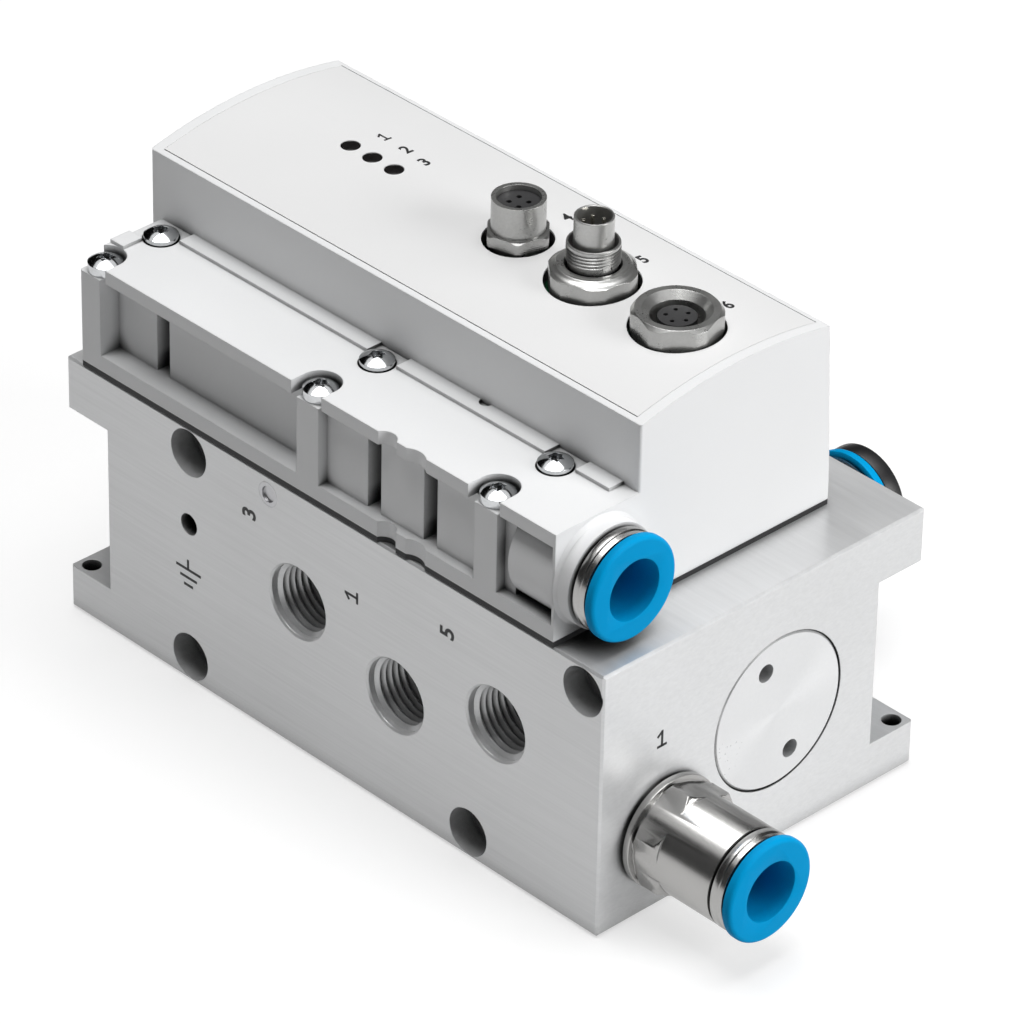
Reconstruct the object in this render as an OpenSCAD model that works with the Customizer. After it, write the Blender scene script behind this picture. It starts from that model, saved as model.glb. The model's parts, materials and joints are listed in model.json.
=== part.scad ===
// Proportional directional control valve: aluminium block, moulded cover with
// electronics and connectors, voice-coil spool drive and push-in tube fittings.
// X runs along the block, the front is -Y, Z is up. Origin: middle of the bottom face.

/* [Valve block] */
// Length of the block
block_len = 128; // [126:1:140]
// Width of the block, front to back
block_w = 72.4; // [71:0.2:80]
// Height of the block
block_h = 50; // [48:0.5:56]
// Chamfer along the block's edges
block_chamfer = 0.4; // [0.2:0.1:0.6]
// Side of the notches at two opposite corners
notch = 10.2; // [9:0.1:11]
// Thickness of the feet below the notches
foot_h = 8.25; // [6:0.25:10]
// Thickness of the lugs above the notches
lug_h = 10; // [9.5:0.5:12]
// Radius of the foot screw holes
foot_hole_r = 1.7; // [1.2:0.05:1.9]
// Distance of the foot screw holes from both outer sides
foot_hole_edge = 2.5; // [2.4:0.1:4]

/* [Mounting holes through the block] */
// Radius of the long bolts' counterbores
bolt_head_r = 4.35; // [4:0.05:4.6]
// Depth of the counterbores
bolt_head_depth = 5; // [3:0.5:8]
// Radius of the through holes
bolt_r = 2.65; // [2.2:0.05:3]
// Height of the hole centres from the top or bottom face
bolt_edge = 4.8; // [4.7:0.1:6]
// Distance of the upper right bolt from the right end
bolt_right = 4.6; // [4.6:0.1:6]
// Position of the left pair of bolts
bolt_left_x = -33.4; // [-36:0.2:-31]
// Position of the lower right bolt
bolt_low_x = 34.2; // [31:0.2:37]

/* [Ports] */
// Distance between neighbouring ports as a share of the block's length
port_pitch_share = 0.0914; // [0.088:0.0002:0.094]
// Position of the pressure port, the middle one, as a share of the block's length
port_mid_share = 0.1297; // [0.12:0.0001:0.14]
// Height of the pressure port on the front
pressure_z = 22.4; // [21:0.1:25]
// Height of the two exhaust ports on the front
exhaust_z = 28.95; // [27:0.05:30]
// Height of the two working ports on the back
work_z = 25; // [23:0.5:27]
// Outer radius of the port threads
thread_r = 6.58; // [6.4:0.02:6.7]
// Depth of the port threads
thread_depth = 11.5; // [10.5:0.5:12.5]
// Chamfer at the mouth of the ports
port_chamfer = 0.35; // [0.2:0.05:0.6]
// Radius of the channels behind the ports
channel_r = 4.5; // [3.5:0.1:5]
// Distance of the end port from the front face
end_port_y = 14.5; // [13:0.1:16]
// Height of the end port
end_port_z = 14.9; // [14:0.1:16]
// Radius of the earth screw hole
earth_r = 2; // [1.6:0.1:2.4]
// Depth of the earth screw hole
earth_depth = 9; // [6:0.5:12]
// Position of the earth screw hole
earth_x = -33.45; // [-36:0.05:-30]
// Height of the earth screw hole
earth_z = 31.2; // [28:0.2:34]
// Radius of the pressed-in channel plug
small_plug_r = 2.25; // [1.8:0.05:2.6]
// Depth of the channel plug's seat
small_plug_depth = 4; // [3:0.5:6]
// Position of the channel plug
small_plug_x = -13.9; // [-16:0.1:-12]
// Distance of the channel plug from the block's top
small_plug_drop = 3.5; // [3.4:0.1:5]

/* [Valve bore] */
// Radius of the valve bore
bore_r = 12.5; // [12:0.1:13]
// Distance of the valve bore from the block's front face
bore_from_front = 39.8; // [38:0.2:41]
// Height of the valve bore
bore_z = 25.3; // [24.5:0.1:26]
// Wall left at the blind end of the bore
bore_end_wall = 8; // [6:0.5:10]
// Radius of the round end cover
cover_r = 14.4; // [14:0.05:15]
// Thickness of the end cover's disc
cover_t = 6; // [5:0.5:7]
// Length of the end cover's spigot
spigot_len = 3; // [2.6:0.1:4]
// Radius of the two spanner holes
spanner_r = 1.65; // [1.2:0.05:2]
// Distance of the spanner holes from the cover's centre
spanner_pcr = 9.3; // [8:0.05:10]
// Turn of the spanner holes from upright
spanner_turn = 20; // [0:1:40]
// Chamfer round the end cover
cover_chamfer = 0.5; // [0.3:0.1:0.8]

/* [Spool drive] */
// Radius of the spool's lands
spool_r = 5; // [4.6:0.1:5.4]
// Radius of the spool between its lands
waist_r = 3.2; // [2.6:0.1:3.8]
// Radial clearance between spool and sleeve
spool_fit = 0.02; // [0.01:0.01:0.05]
// Largest stroke of the spool either way
stroke = 2; // [1:0.1:2.2]
// Radius of the windows in the sleeve
window_r = 2; // [1.6:0.1:2.2]
// Width of the ring grooves round the sleeve at each port
ring_groove_w = 6.4; // [5.6:0.1:6.8]
// Depth of the ring grooves
ring_groove_t = 2.2; // [1.5:0.1:2.6]
// Thickness of the round seals' cord
seal_cord = 1.74; // [1.5:0.02:1.8]
// Length of the magnet pot
pot_len = 30; // [28:0.5:32]
// Wall of the magnet pot
pot_wall = 3.25; // [2.8:0.05:3.4]
// Floor of the magnet pot
pot_floor = 4; // [3:0.5:5]
// Radius of the magnet
magnet_r = 6; // [5.5:0.1:6.2]
// Length of the magnet
magnet_len = 10; // [8:0.5:10]
// Length of the pole disc
pole_len = 8; // [7:0.5:8]
// Inner radius of the coil former
former_r = 7; // [6.8:0.1:7.2]
// Wall of the coil former's tube
former_wall = 0.6; // [0.5:0.05:0.8]
// Thickness of the copper winding
winding_t = 0.9; // [0.6:0.05:1]
// Radius of the spool's stem in the coil former
stem_r = 2.5; // [2:0.1:2.8]
// Radius of the centring springs' coils
spring_r = 3.9; // [3.6:0.1:4]
// Radius of the spring wire
wire_r = 0.4; // [0.3:0.05:0.5]
// Number of turns of a centring spring
spring_turns = 4; // [3:1:5]

/* [Cover housing] */
// Thickness of the gasket under the housing
gasket_t = 1; // [0.8:0.1:1.4]
// Distance of the housing's right end from the block's end
cover_right_step = 11.4; // [11:0.2:14]
// Distance of the low part's left end from the block's end
cover_left_step = 3.85; // [3.7:0.05:5]
// Distance of the hood's left end from the block's end
hood_left_step = 1.25; // [1:0.05:2]
// Depth of the low part in front of the hood
shelf_d = 18; // [17.6:0.1:19]
// Distance of the hood's back from the block's back face, at its foot
hood_back_step = 10.7; // [10:0.1:13]
// Lean of the hood's back wall up to the roof's edge
hood_draft = 1.8; // [1:0.1:3]
// Height of the low part above the gasket
shelf_h = 19.9; // [19.4:0.1:21]
// Thickness of the plate on the low part
plate_t = 2.5; // [2.2:0.1:3]
// Height of the lip along the housing's foot
lip_h = 2.9; // [2:0.1:3.5]
// Height of the hood's straight walls above the gasket
hood_h = 32.2; // [31:0.2:36]
// Rise of the roof's arch above the hood's front edge
arch_rise = 3; // [2:0.1:3.4]
// Distance of the arch's crown behind the middle of the roof
arch_shift = 2.2; // [1.4:0.1:2.6]
// Wall thickness of the housing
wall = 2.2; // [2:0.1:2.4]
// Radius of the housing's upright corners
corner_r = 0.5; // [0.3:0.1:1]
// Thickness of the sheet let into the roof
sheet_t = 0.4; // [0.3:0.05:0.5]
// Distance of the sheet from the roof's edges
sheet_edge = 1.1; // [0.8:0.1:2]
// Distance of the sheet's ends from the ends of the hood
sheet_end = 2; // [1.6:0.1:2.4]
// Gap round the sheet
sheet_gap = 0.15; // [0.1:0.05:0.3]

/* [Front wall] */
// Depth of the left wall panels behind the lip
left_inset = 4.1; // [3.6:0.1:4.6]
// Depth of the right wall panels behind the lip
right_inset = 1.9; // [1.2:0.1:2.4]
// Depth of the narrow upright grooves
groove_inset = 5.2; // [4.8:0.1:5.6]
// Depth of the left upright groove
left_groove_inset = 7.4; // [6.6:0.1:7.6]
// Width of the narrow upright grooves
groove_w = 3.1; // [2.4:0.1:3.6]
// Position of the left groove
left_groove_x = -44.05; // [-46:0.05:-42]
// Position of the first right groove
groove1_x = 9.45; // [9:0.05:10.5]
// Position of the second right groove
groove2_x = 22.5; // [22:0.05:24]
// Width of the pillar at the left end
end_pillar_w = 5; // [4.8:0.1:6]
// Width of the pillar at the middle screw
mid_pillar_w = 5.2; // [5:0.1:6.5]
// Width of the pillar at the right screw
right_pillar_w = 4.8; // [4.4:0.1:5.5]
// Width of the recess in front of the tube socket
recess_w = 12.45; // [11.6:0.05:12.6]
// Thickness of the rib that ends the recess
rib_t = 0.55; // [0.4:0.05:1]
// Width of the finger notch in the plate's edge
notch1_w = 4.3; // [3.5:0.1:5]
// Depth of the finger notch in the plate's edge
notch1_d = 1.35; // [0.8:0.05:1.5]
// Position of the first round notch
notch1_x = 14.35; // [13.5:0.05:15]
// Width of the second round notch
notch2_w = 4.6; // [3.5:0.1:5]
// Depth of the second round notch
notch2_d = 0.8; // [0.5:0.05:1.2]
// Position of the second round notch
notch2_x = 21.1; // [20.5:0.05:22]
// Width of the raised strip along the hood
strip_w = 3.2; // [2:0.1:3.4]
// Height of the raised strips
strip_h = 0.6; // [0.4:0.05:0.8]

/* [Housing screws] */
// Distance of the front left screw from the low part's left end
left_screw_step = 2.85; // [2.8:0.05:3.2]
// Position of the front middle screw
mid_screw_x = -4.7; // [-5.4:0.1:-4]
// Position of the front right screw
right_screw_x = 36.5; // [35.6:0.1:36.8]
// Distance by which the rear screws stand further right than the front ones
rear_shift = 1.7; // [1.2:0.1:2]
// Distance of the front screws from the block's front face
front_screw_step = 3.1; // [3:0.1:3.5]
// Distance of the rear screws from the block's front face
rear_screw_step = 13.8; // [13:0.1:14.2]
// Shank radius of the screws
screw_r = 1.5; // [1.2:0.05:1.6]
// Head radius of the screws
head_r = 2.95; // [2.8:0.05:3]
// Head height of the screws
head_h = 2.6; // [2.2:0.1:3]
// Screw engagement in the block
screw_grip = 8.5; // [6:0.5:8.5]
// Half width of the notches round the front screws
screw_notch_r = 3.6; // [3.5:0.1:3.8]
// Depth of the seats of the rear screws
rear_seat_depth = 0.8; // [0.5:0.1:1.2]

/* [Push-in fittings] */
// Outer radius of the tube that the fittings take
tube_r = 5; // [4.9:0.05:5.1]
// Clearance round the tube
tube_fit = 0.05; // [0.03:0.01:0.1]
// Hexagon of the screwed fittings across its flats
fit_hex_af = 17.3; // [16.9:0.1:17.5]
// Height at which the hexagon ends, above the seat
fit_hex_top = 7.3; // [6:0.1:8]
// Radius of the round collar under the hexagon
fit_collar_r = 10; // [9.8:0.1:10.2]
// Radius of the fitting's barrel
fit_barrel_r = 8.8; // [8.7:0.05:8.95]
// Length of the barrel from the seat
fit_barrel_top = 18.5; // [18.2:0.1:19.5]
// Length of the screwed shank
fit_shank = 10; // [8:0.5:10]
// Depth of the tube stop above the seat
tube_stop = 4.5; // [4:0.1:5.5]
// Length of the metal rim in front of the barrel
rim_len = 2.9; // [2.6:0.1:3.2]
// Travel of the release ring
ring_travel = 0.7; // [0.4:0.05:0.75]
// Rest gap between the rim and the release ring
ring_gap = 0.8; // [0.8:0.05:1]
// Outer radius of the release ring
ring_r = 9.2; // [9:0.05:9.3]
// Thickness of the release ring's flange
ring_t = 1.7; // [1.4:0.1:2]
// Radius of the release ring's bore
ring_bore_r = 5.35; // [5.2:0.05:5.5]
// How much shorter the fittings at the back are
rear_short = 1.8; // [1:0.1:2]
// Radius of the blanking plugs' heads
plug_head_r = 8.9; // [8.6:0.1:9.2]
// Thickness of the blanking plugs' heads
plug_head_t = 3.2; // [2.8:0.1:3.6]

/* [Tube socket of the cover] */
// Distance of the socket's axis from the block's front face
socket_y = 9.2; // [9.2:0.05:9.6]
// Height of the socket's axis above the gasket
socket_h = 9.8; // [9.6:0.1:10.2]
// Length of the socket's barrel in front of the housing's end
socket_out = 3; // [2.7:0.1:3.3]

/* [Lights and connectors] */
// Distance of the lights and connectors from the block's front face
row_y = 39.7; // [38.8:0.1:40.4]
// Distance of the left light from the hood's left end
lens_step = 25.05; // [24:0.05:26]
// Distance between the lights
lens_pitch = 5.27; // [4.6:0.01:6]
// Radius of the lights
lens_r = 1.65; // [1.2:0.05:2]
// Distance of the left connector from the cover's right end
conn_a_step = 50.4; // [49.6:0.1:51.6]
// Distance of the middle connector from the cover's right end
conn_b_step = 33.2; // [32.4:0.1:34]
// Distance of the right connector from the cover's right end
conn_c_step = 14.1; // [13.6:0.1:15.6]
// Height of the left connector above the roof
conn_a_h = 7.7; // [7:0.1:9]
// Height of the middle connector's threaded tube above the roof
conn_b_h = 7.2; // [7:0.1:9]
// Height of the middle connector's inner tube above the roof
conn_b_tip = 11.8; // [11:0.1:13]
// Height of the right connector above the roof
conn_c_h = 3.2; // [3:0.1:4]
// Radius of the connector tubes and threads
conn_r = 4.5; // [4.2:0.05:4.6]
// Hexagon of the left connector across its flats
conn_a_af = 10; // [9.6:0.1:10.2]
// Hexagon of the nuts across their flats
nut_af = 14; // [13.6:0.1:14.4]
// Height of the nuts above the roof
nut_h = 3.1; // [3:0.1:3.6]
// Roof opening round the left connector
hole_a_r = 6; // [6:0.05:6.2]
// Roof opening round the other connectors
hole_bc_r = 8; // [7.8:0.1:8.3]

/* [Circuit board] */
// Thickness of the circuit board
board_t = 1.6; // [1:0.1:2]
// Depth of the board's upper face under the roof's top
board_drop = 10.6; // [9.5:0.1:12]
// Radius of the posts that hold the board
post_r = 2.5; // [2.2:0.1:3]
// Radius of the board screws
board_screw_r = 1; // [0.8:0.05:1.2]

/* [Hidden] */
$fn = 72;
// Small overlap of a cut beyond the face it opens
over = 1;
// Loose clearance of pieces that are pushed or screwed into a hole
loose = 0.05;
front_y = -block_w / 2;
back_y = block_w / 2;
right_x = block_len / 2;
left_x = -block_len / 2;

// Places in the block
port_pitch = block_len * port_pitch_share;
port_mid_x = block_len * port_mid_share;
bore_y = front_y + bore_from_front;
bore_left_x = left_x + bore_end_wall;
cover_seat_x = right_x - cover_t;
spigot_x = cover_seat_x - spigot_len;
sleeve_left_x = bore_left_x + pot_len;
end_y = front_y + end_port_y;
port_x = [for (i = [-2:2]) port_mid_x + i * port_pitch];
lower_bolts = [bolt_left_x, bolt_low_x];
upper_bolts = [bolt_left_x, right_x - bolt_right];

// Places in the spool drive
pot_r = bore_r - loose;
skirt_r = pot_r - pot_wall;
web_t = 2;
former_reach = 12;
winding_reach = 10;
web_x = sleeve_left_x;
stem_len = block_len / 16;
pole_x = bore_left_x + pot_floor + magnet_len;
sleeve_bore_x = sleeve_left_x + stem_len - 1;
spool_right_x = port_x[4] + 8.3;
land = window_r + 0.4;
seal_r = pot_r - seal_cord / 2 + loose / 2;
seal_floor_r = seal_r - seal_cord / 2;
seal_groove_w = seal_cord + 0.26;
seal_x = [for (i = [-3:2]) port_mid_x + (i + 0.5) * port_pitch];

// Places in the housing
base_z = block_h + gasket_t;
plate_top = base_z + shelf_h;
plate_z = plate_top - plate_t;
hood_z = base_z + hood_h;
roof_z = hood_z + arch_rise;
cover_left_x = left_x + cover_left_step;
hood_left_x = left_x + hood_left_step;
cover_right_x = right_x - cover_right_step;
hood_y = front_y + shelf_d;
hood_back_y = back_y - hood_back_step;
roof_back_y = hood_back_y - hood_draft;
arch_y = (hood_y + roof_back_y) / 2 + arch_shift;
arch_half = arch_y - hood_y;
arch_r = (arch_half * arch_half + arch_rise * arch_rise) / (2 * arch_rise);
arch_z = roof_z - arch_r;
roof_t = wall + 0.2;
left_screw_x = cover_left_x + left_screw_step;
screw_xs = [left_screw_x, mid_screw_x, right_screw_x];
rear_xs = [for (x = screw_xs) x + rear_shift];
front_screw_y = front_y + front_screw_step;
rear_screw_y = front_y + rear_screw_step;
screw_places = [for (x = screw_xs) each [[x, front_screw_y], [x + rear_shift, rear_screw_y]]];
front_seat_z = plate_z;
rear_seat_z = plate_top - rear_seat_depth;
screw_hole_r = screw_r + 0.1;
column_r = screw_r + 2.2;
screw_end_z = block_h - screw_grip;
drill_spare = 0.5;
plug_ledge = 0.75;
dish_depth = 0.4;
dish_in = 0.9;
dish_rim = 0.5;
land_clear = 0.3;
pole_rim = 0.3;
recess_x = cover_right_x - rib_t - recess_w;
low_cavity_y = front_y + left_groove_inset + wall;
strip_gap = head_r + 0.5;
seat_clear = 0.25;
sheet_end_gap = 0.03;
dome_share = 1.63;
nick_x = (mid_screw_x + right_screw_x) / 2 + 2.1;
nick_r = 1.2;
pillar_in = 0.3;
groove_share = 0.2;
arc_sides = 240;
arch_cut = 2.9;
channel_cut = 6;

// Places in the fittings, measured along each fitting's axis from its seat
rim_top = fit_barrel_top + rim_len;
ring_seat = rim_top + ring_gap;
ring_top = ring_seat + ring_t;
grab_seat = 12.9;
grab_t = 0.5;
grab_r = 8.2;
pocket_r = 8.3;
tube_seal_cord = 1;
tube_seal_seat = grab_seat - 2.7;
tube_hole_r = tube_r + tube_fit;
tube_seal_r = tube_hole_r + tube_seal_cord;
rim_spigot_r = 8.25;
rim_bore_r = 7.3;
ring_neck_r = rim_bore_r - 0.07;
ring_lip_r = 7.6;
rim_step_r = 7.7;
rim_step_top = 16.3;
flow_r = 3.8;
face_seal_t = 0.8;
face_groove_in = 0.6;
face_groove_out = 1.6;
face_seal_in = face_groove_in + 0.05;
face_seal_out = face_groove_out - 0.05;
teeth = 12;
tooth_depth = 1.4;
tooth_gap = 0.6;
rim_lap = 0.6;
rim_groove_h = 0.9;
rim_groove_foot = 1.1;
rim_r = fit_barrel_r + 0.07;
rim_groove_r = fit_barrel_r - 0.2;
lip_gap = 0.3;
ring_lip_h = 0.8;
ring_neck_h = 1.6;
ring_bevel = 0.4;
plug_bevel = 0.4;
fit_1_turn = 8;
cord_sides = 32;

fit_collar_t = 1.2;
fit_chamfer = 0.9;
fit_corner = 1.4;

// Places in the tube socket
socket_axis_y = front_y + socket_y;
socket_axis_z = base_z + socket_h;
socket_end_x = cover_right_x + socket_out;
socket_seat_x = socket_end_x - fit_barrel_top;
socket_channel_x = socket_seat_x + tube_stop - 3.1;
socket_channel_r = 2.5;
socket_flare = 0.6;

// Places of the lights, connectors and board
row_line_y = front_y + row_y;
lens_xs = [for (i = [0:2]) hood_left_x + lens_step + i * lens_pitch];
conn_a_x = cover_right_x - conn_a_step;
conn_b_x = cover_right_x - conn_b_step;
conn_c_x = cover_right_x - conn_c_step;
board_top = roof_z - board_drop;
board_z = board_top - board_t;
board_left_x = hood_left_x + wall + 3;
board_right_x = cover_right_x - wall - 1.5;
board_front_y = hood_y + wall + 2.5;
board_back_y = roof_back_y - wall - 1;
post_in = 4;
post_xs = [board_left_x + post_in, board_right_x - post_in];
post_ys = [board_front_y + post_in - 1, board_back_y - post_in + 1];
nut_full_h = 5;
shoulder_z = roof_z + nut_h - nut_full_h;
neck_b_r = conn_r - 0.35;
thread_b_foot = nut_h + 0.4;
moat_w = 0.75;
moat_depth = 3;
nut_turn = 20.3;
nut_corner = 0.35;
nut_chamfer = 1;
nut_mouth = 0.8;
nut_mouth_r = conn_r + 0.6;
shell_c_turn = -14.3;
shell_c_corner = 0.5;
shell_c_chamfer = 0.6;
shell_c_mouth = 1.2;
shell_c_well = 7;
shell_foot_r = conn_r + 1.5;
pot_in = 3;
shell_a_wall = 0.8;
pin_r = 0.35;
pin_pcr = 1.75;
pin_drop = 1;
shell_b_in = 1.2;
shell_b_wall = 0.4;
insert_b_r = conn_r - shell_b_in - shell_b_wall;
foot_a_turn = 15;
foot_a_corner = 0.6;
foot_a_h = 2.2;
foot_a_sunk = 0.2;
foot_a_chamfer = 0.4;
insert_a_drop = 1;
insert_a_hole_r = 0.45;
insert_a_hole_pcr = 1.6;
insert_a_hole_h = 6;
insert_a_hole_top = 3;
insert_c_h = 5.6;
insert_c_r = conn_r - 1.3;
insert_c_hole_r = 0.4;
insert_c_hole_pcr = 1.9;
board_head_h = 1.4;
guide_gap = 0.05;
five = [0:72:288];
four = [45:90:315];

// Box between two corners
module span(x0, x1, y0, y1, z0, z1) {
    translate([x0, y0, z0]) cube([x1 - x0, y1 - y0, z1 - z0]);
}

// Rectangle between two corners
module area(x0, x1, y0, y1) {
    translate([x0, y0]) square([x1 - x0, y1 - y0]);
}

// Outline in the Y-Z plane, drawn out along X
module along_x(x0, x1) {
    translate([x0, 0, 0]) rotate([90, 0, 90]) linear_extrude(x1 - x0) children();
}

// Round piece or cut on an axis along +X
module on_x(x, y, z) {
    translate([x, y, z]) rotate([0, 90, 0]) children();
}

// Round piece or cut that leaves the front face
module on_front(x, z) {
    translate([x, front_y, z]) rotate([90, 0, 0]) children();
}

// Round piece or cut that leaves the back face
module on_back(x, z) {
    translate([x, back_y, z]) rotate([-90, 0, 0]) children();
}

// Box with a chamfer along all its edges, standing on the ground
module chamfered_block(l, w, h, c) {
    intersection() {
        linear_extrude(h) chamfered_area(l, w, c);
        translate([0, 0, h / 2]) rotate([90, 0, 0]) linear_extrude(w + over, center = true)
            chamfered_area(l, h, c);
        translate([0, 0, h / 2]) rotate([90, 0, 90]) linear_extrude(l + over, center = true)
            chamfered_area(w, h, c);
    }
}

// Rectangle with cut corners round the origin
module chamfered_area(l, w, c) {
    a = l / 2;
    b = w / 2;
    polygon([[-a + c, -b], [a - c, -b], [a, -b + c], [a, b - c],
             [a - c, b], [-a + c, b], [-a, b - c], [-a, -b + c]]);
}

// Threaded port with its channel, going down from its mouth
module port_cut(reach) {
    translate([0, 0, -thread_depth]) cylinder(r = thread_r, h = thread_depth + over);
    translate([0, 0, -reach]) cylinder(r = channel_r, h = reach);
    translate([0, 0, -port_chamfer])
        cylinder(r1 = thread_r, r2 = thread_r + port_chamfer + over, h = port_chamfer + over);
}

// Counterbored hole of a long mounting bolt
module bolt_cut() {
    translate([0, 0, -block_w - over]) cylinder(r = bolt_r, h = block_w + 2 * over);
    translate([0, 0, -bolt_head_depth]) cylinder(r = bolt_head_r, h = bolt_head_depth + over);
}

// Notch in the front left corner with the hole of its foot
module corner_cut() {
    span(left_x - over, left_x + notch, front_y - over, front_y + notch, foot_h, block_h - lug_h);
    translate([left_x + foot_hole_edge, front_y + foot_hole_edge, -over])
        cylinder(r = foot_hole_r, h = foot_h + 2 * over);
}

module block() {
    color("silver") difference() {
        chamfered_block(block_len, block_w, block_h, block_chamfer);
        corner_cut();
        rotate([0, 0, 180]) corner_cut();
        on_x(bore_left_x, bore_y, bore_z) cylinder(r = bore_r, h = block_len);
        on_x(cover_seat_x, bore_y, bore_z) cylinder(r = cover_r + loose, h = cover_t + over);
        for (x = lower_bolts) on_front(x, bolt_edge) bolt_cut();
        for (x = upper_bolts) on_front(x, block_h - bolt_edge) bolt_cut();
        on_front(port_x[0], exhaust_z) port_cut(bore_from_front - bore_r / 2);
        on_front(port_x[2], pressure_z) port_cut(bore_from_front - bore_r / 2);
        on_front(port_x[4], exhaust_z) port_cut(bore_from_front - bore_r / 2);
        on_back(port_x[1], work_z) port_cut(block_w - bore_from_front - bore_r / 2);
        on_back(port_x[3], work_z) port_cut(block_w - bore_from_front - bore_r / 2);
        on_x(right_x, end_y, end_port_z) port_cut(right_x - port_x[2]);
        on_front(earth_x, earth_z) translate([0, 0, -earth_depth])
            cylinder(r = earth_r, h = earth_depth + over);
        on_front(small_plug_x, block_h - small_plug_drop) {
            translate([0, 0, -small_plug_depth])
                cylinder(r = small_plug_r, h = small_plug_depth + over);
            translate([0, 0, -shelf_d]) cylinder(r = small_plug_r - plug_ledge, h = shelf_d);
        }
        housing_screw_places() translate([0, 0, screw_end_z - drill_spare])
            cylinder(r = screw_r + loose, h = screw_grip + over);
        translate([socket_channel_x, socket_axis_y, exhaust_z])
            cylinder(r = socket_channel_r, h = block_h);
    }
}

// Steel plug with a dished face, pressed into a drilled channel
module channel_plug() {
    color("lightgray") on_front(small_plug_x, block_h - small_plug_drop) difference() {
        translate([0, 0, -small_plug_depth]) cylinder(r = small_plug_r, h = small_plug_depth);
        translate([0, 0, -dish_depth])
            cylinder(r1 = small_plug_r - dish_in, r2 = small_plug_r - dish_rim, h = dish_depth + over);
    }
}

module end_cover() {
    color("gainsboro") on_x(spigot_x, bore_y, bore_z) difference() {
        union() {
            cylinder(r = pot_r, h = spigot_len);
            translate([0, 0, spigot_len]) cylinder(r = cover_r, h = cover_t - cover_chamfer);
            translate([0, 0, spigot_len + cover_t - cover_chamfer])
                cylinder(r1 = cover_r, r2 = cover_r - cover_chamfer, h = cover_chamfer);
        }
        translate([0, 0, spigot_len / 2]) ring_cut(seal_groove_w);
        for (side = [0, 180]) rotate([0, 0, 180 + spanner_turn + side])
            translate([spanner_pcr, 0, spigot_len + 1])
                cylinder(r = spanner_r, h = cover_t);
    }
}

// Groove of a round seal, centred on the origin
module ring_cut(w) {
    difference() {
        translate([0, 0, -w / 2]) cylinder(r = bore_r + over, h = w);
        translate([0, 0, -w / 2 - over]) cylinder(r = seal_floor_r, h = w + 2 * over);
    }
}

// Round seal in the valve bore
module bore_seal() {
    rotate_extrude() translate([seal_r, 0]) circle(d = seal_cord, $fn = cord_sides);
}

module end_cover_seal() {
    color("black") on_x(spigot_x + spigot_len / 2, bore_y, bore_z) bore_seal();
}

module valve_sleeve() {
    color("darkgray") difference() {
        on_x(sleeve_left_x, bore_y, bore_z) cylinder(r = pot_r, h = spigot_x - sleeve_left_x);
        on_x(sleeve_left_x - over, bore_y, bore_z)
            cylinder(r = skirt_r, h = stem_len - 1 + over);
        on_x(sleeve_left_x, bore_y, bore_z)
            cylinder(r = spool_r + spool_fit, h = block_len);
        for (x = port_x) on_x(x, bore_y, bore_z) {
            difference() {
                cylinder(r = bore_r + over, h = ring_groove_w, center = true);
                cylinder(r = pot_r - ring_groove_t, h = ring_groove_w + over, center = true);
            }
            for (turn = [0, 90]) rotate([90, 0, turn])
                cylinder(r = window_r, h = 2 * bore_r, center = true);
        }
        for (x = seal_x) on_x(x, bore_y, bore_z) ring_cut(seal_groove_w);
    }
}

module sleeve_seals() {
    color("black") for (x = seal_x) on_x(x, bore_y, bore_z) bore_seal();
}

// Land of the spool between two places along its axis
module spool_land(x0, x1) {
    on_x(x0, bore_y, bore_z) cylinder(r = spool_r, h = x1 - x0);
}

module spool() {
    color("gray") {
        on_x(web_x, bore_y, bore_z) cylinder(r = stem_r, h = stem_len + 1);
        on_x(web_x + stem_len, bore_y, bore_z)
            cylinder(r = waist_r, h = spool_right_x - web_x - stem_len);
        spool_land(sleeve_bore_x + stroke + land_clear, port_x[0] - window_r - stroke);
        spool_land(port_x[1] - land, port_x[1] + land);
        spool_land(port_x[3] - land, port_x[3] + land);
        spool_land(port_x[4] + window_r + stroke, spool_right_x);
    }
}

module coil_former() {
    color("ivory") on_x(web_x - pole_len - former_reach, bore_y, bore_z) difference() {
        cylinder(r = former_r + former_wall, h = pole_len + former_reach + web_t);
        translate([0, 0, -over]) cylinder(r = former_r, h = pole_len + former_reach + over);
        cylinder(r = stem_r, h = block_len);
    }
}

module coil_winding() {
    color("peru") on_x(web_x - pole_len - winding_reach, bore_y, bore_z) difference() {
        cylinder(r = former_r + former_wall + winding_t, h = pole_len + winding_reach - 4);
        translate([0, 0, -over]) cylinder(r = former_r + former_wall, h = pole_len + winding_reach);
    }
}

module magnet_pot() {
    color("dimgray") on_x(bore_left_x, bore_y, bore_z) difference() {
        cylinder(r = pot_r, h = pot_len);
        translate([0, 0, pot_floor]) cylinder(r = skirt_r, h = pot_len);
    }
}

module magnet() {
    color("slategray") on_x(bore_left_x + pot_floor, bore_y, bore_z)
        cylinder(r = magnet_r, h = magnet_len);
}

module pole_disc() {
    color("dimgray") on_x(pole_x, bore_y, bore_z) cylinder(r = magnet_r + pole_rim, h = pole_len);
}

// Coil spring with its axis along X, between two faces
spring_steps = 16;
wire_sides = 6;

function wire_ring(i, count, x0, x1) = let (
        turn = 360 * i / spring_steps,
        x = x0 + wire_r + (x1 - x0 - 2 * wire_r) * i / count)
    [for (j = [0:wire_sides - 1]) let (
        a = 360 * j / wire_sides,
        r = spring_r + wire_r * cos(a))
        [x + wire_r * sin(a), bore_y + r * cos(turn), bore_z + r * sin(turn)]];

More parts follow.
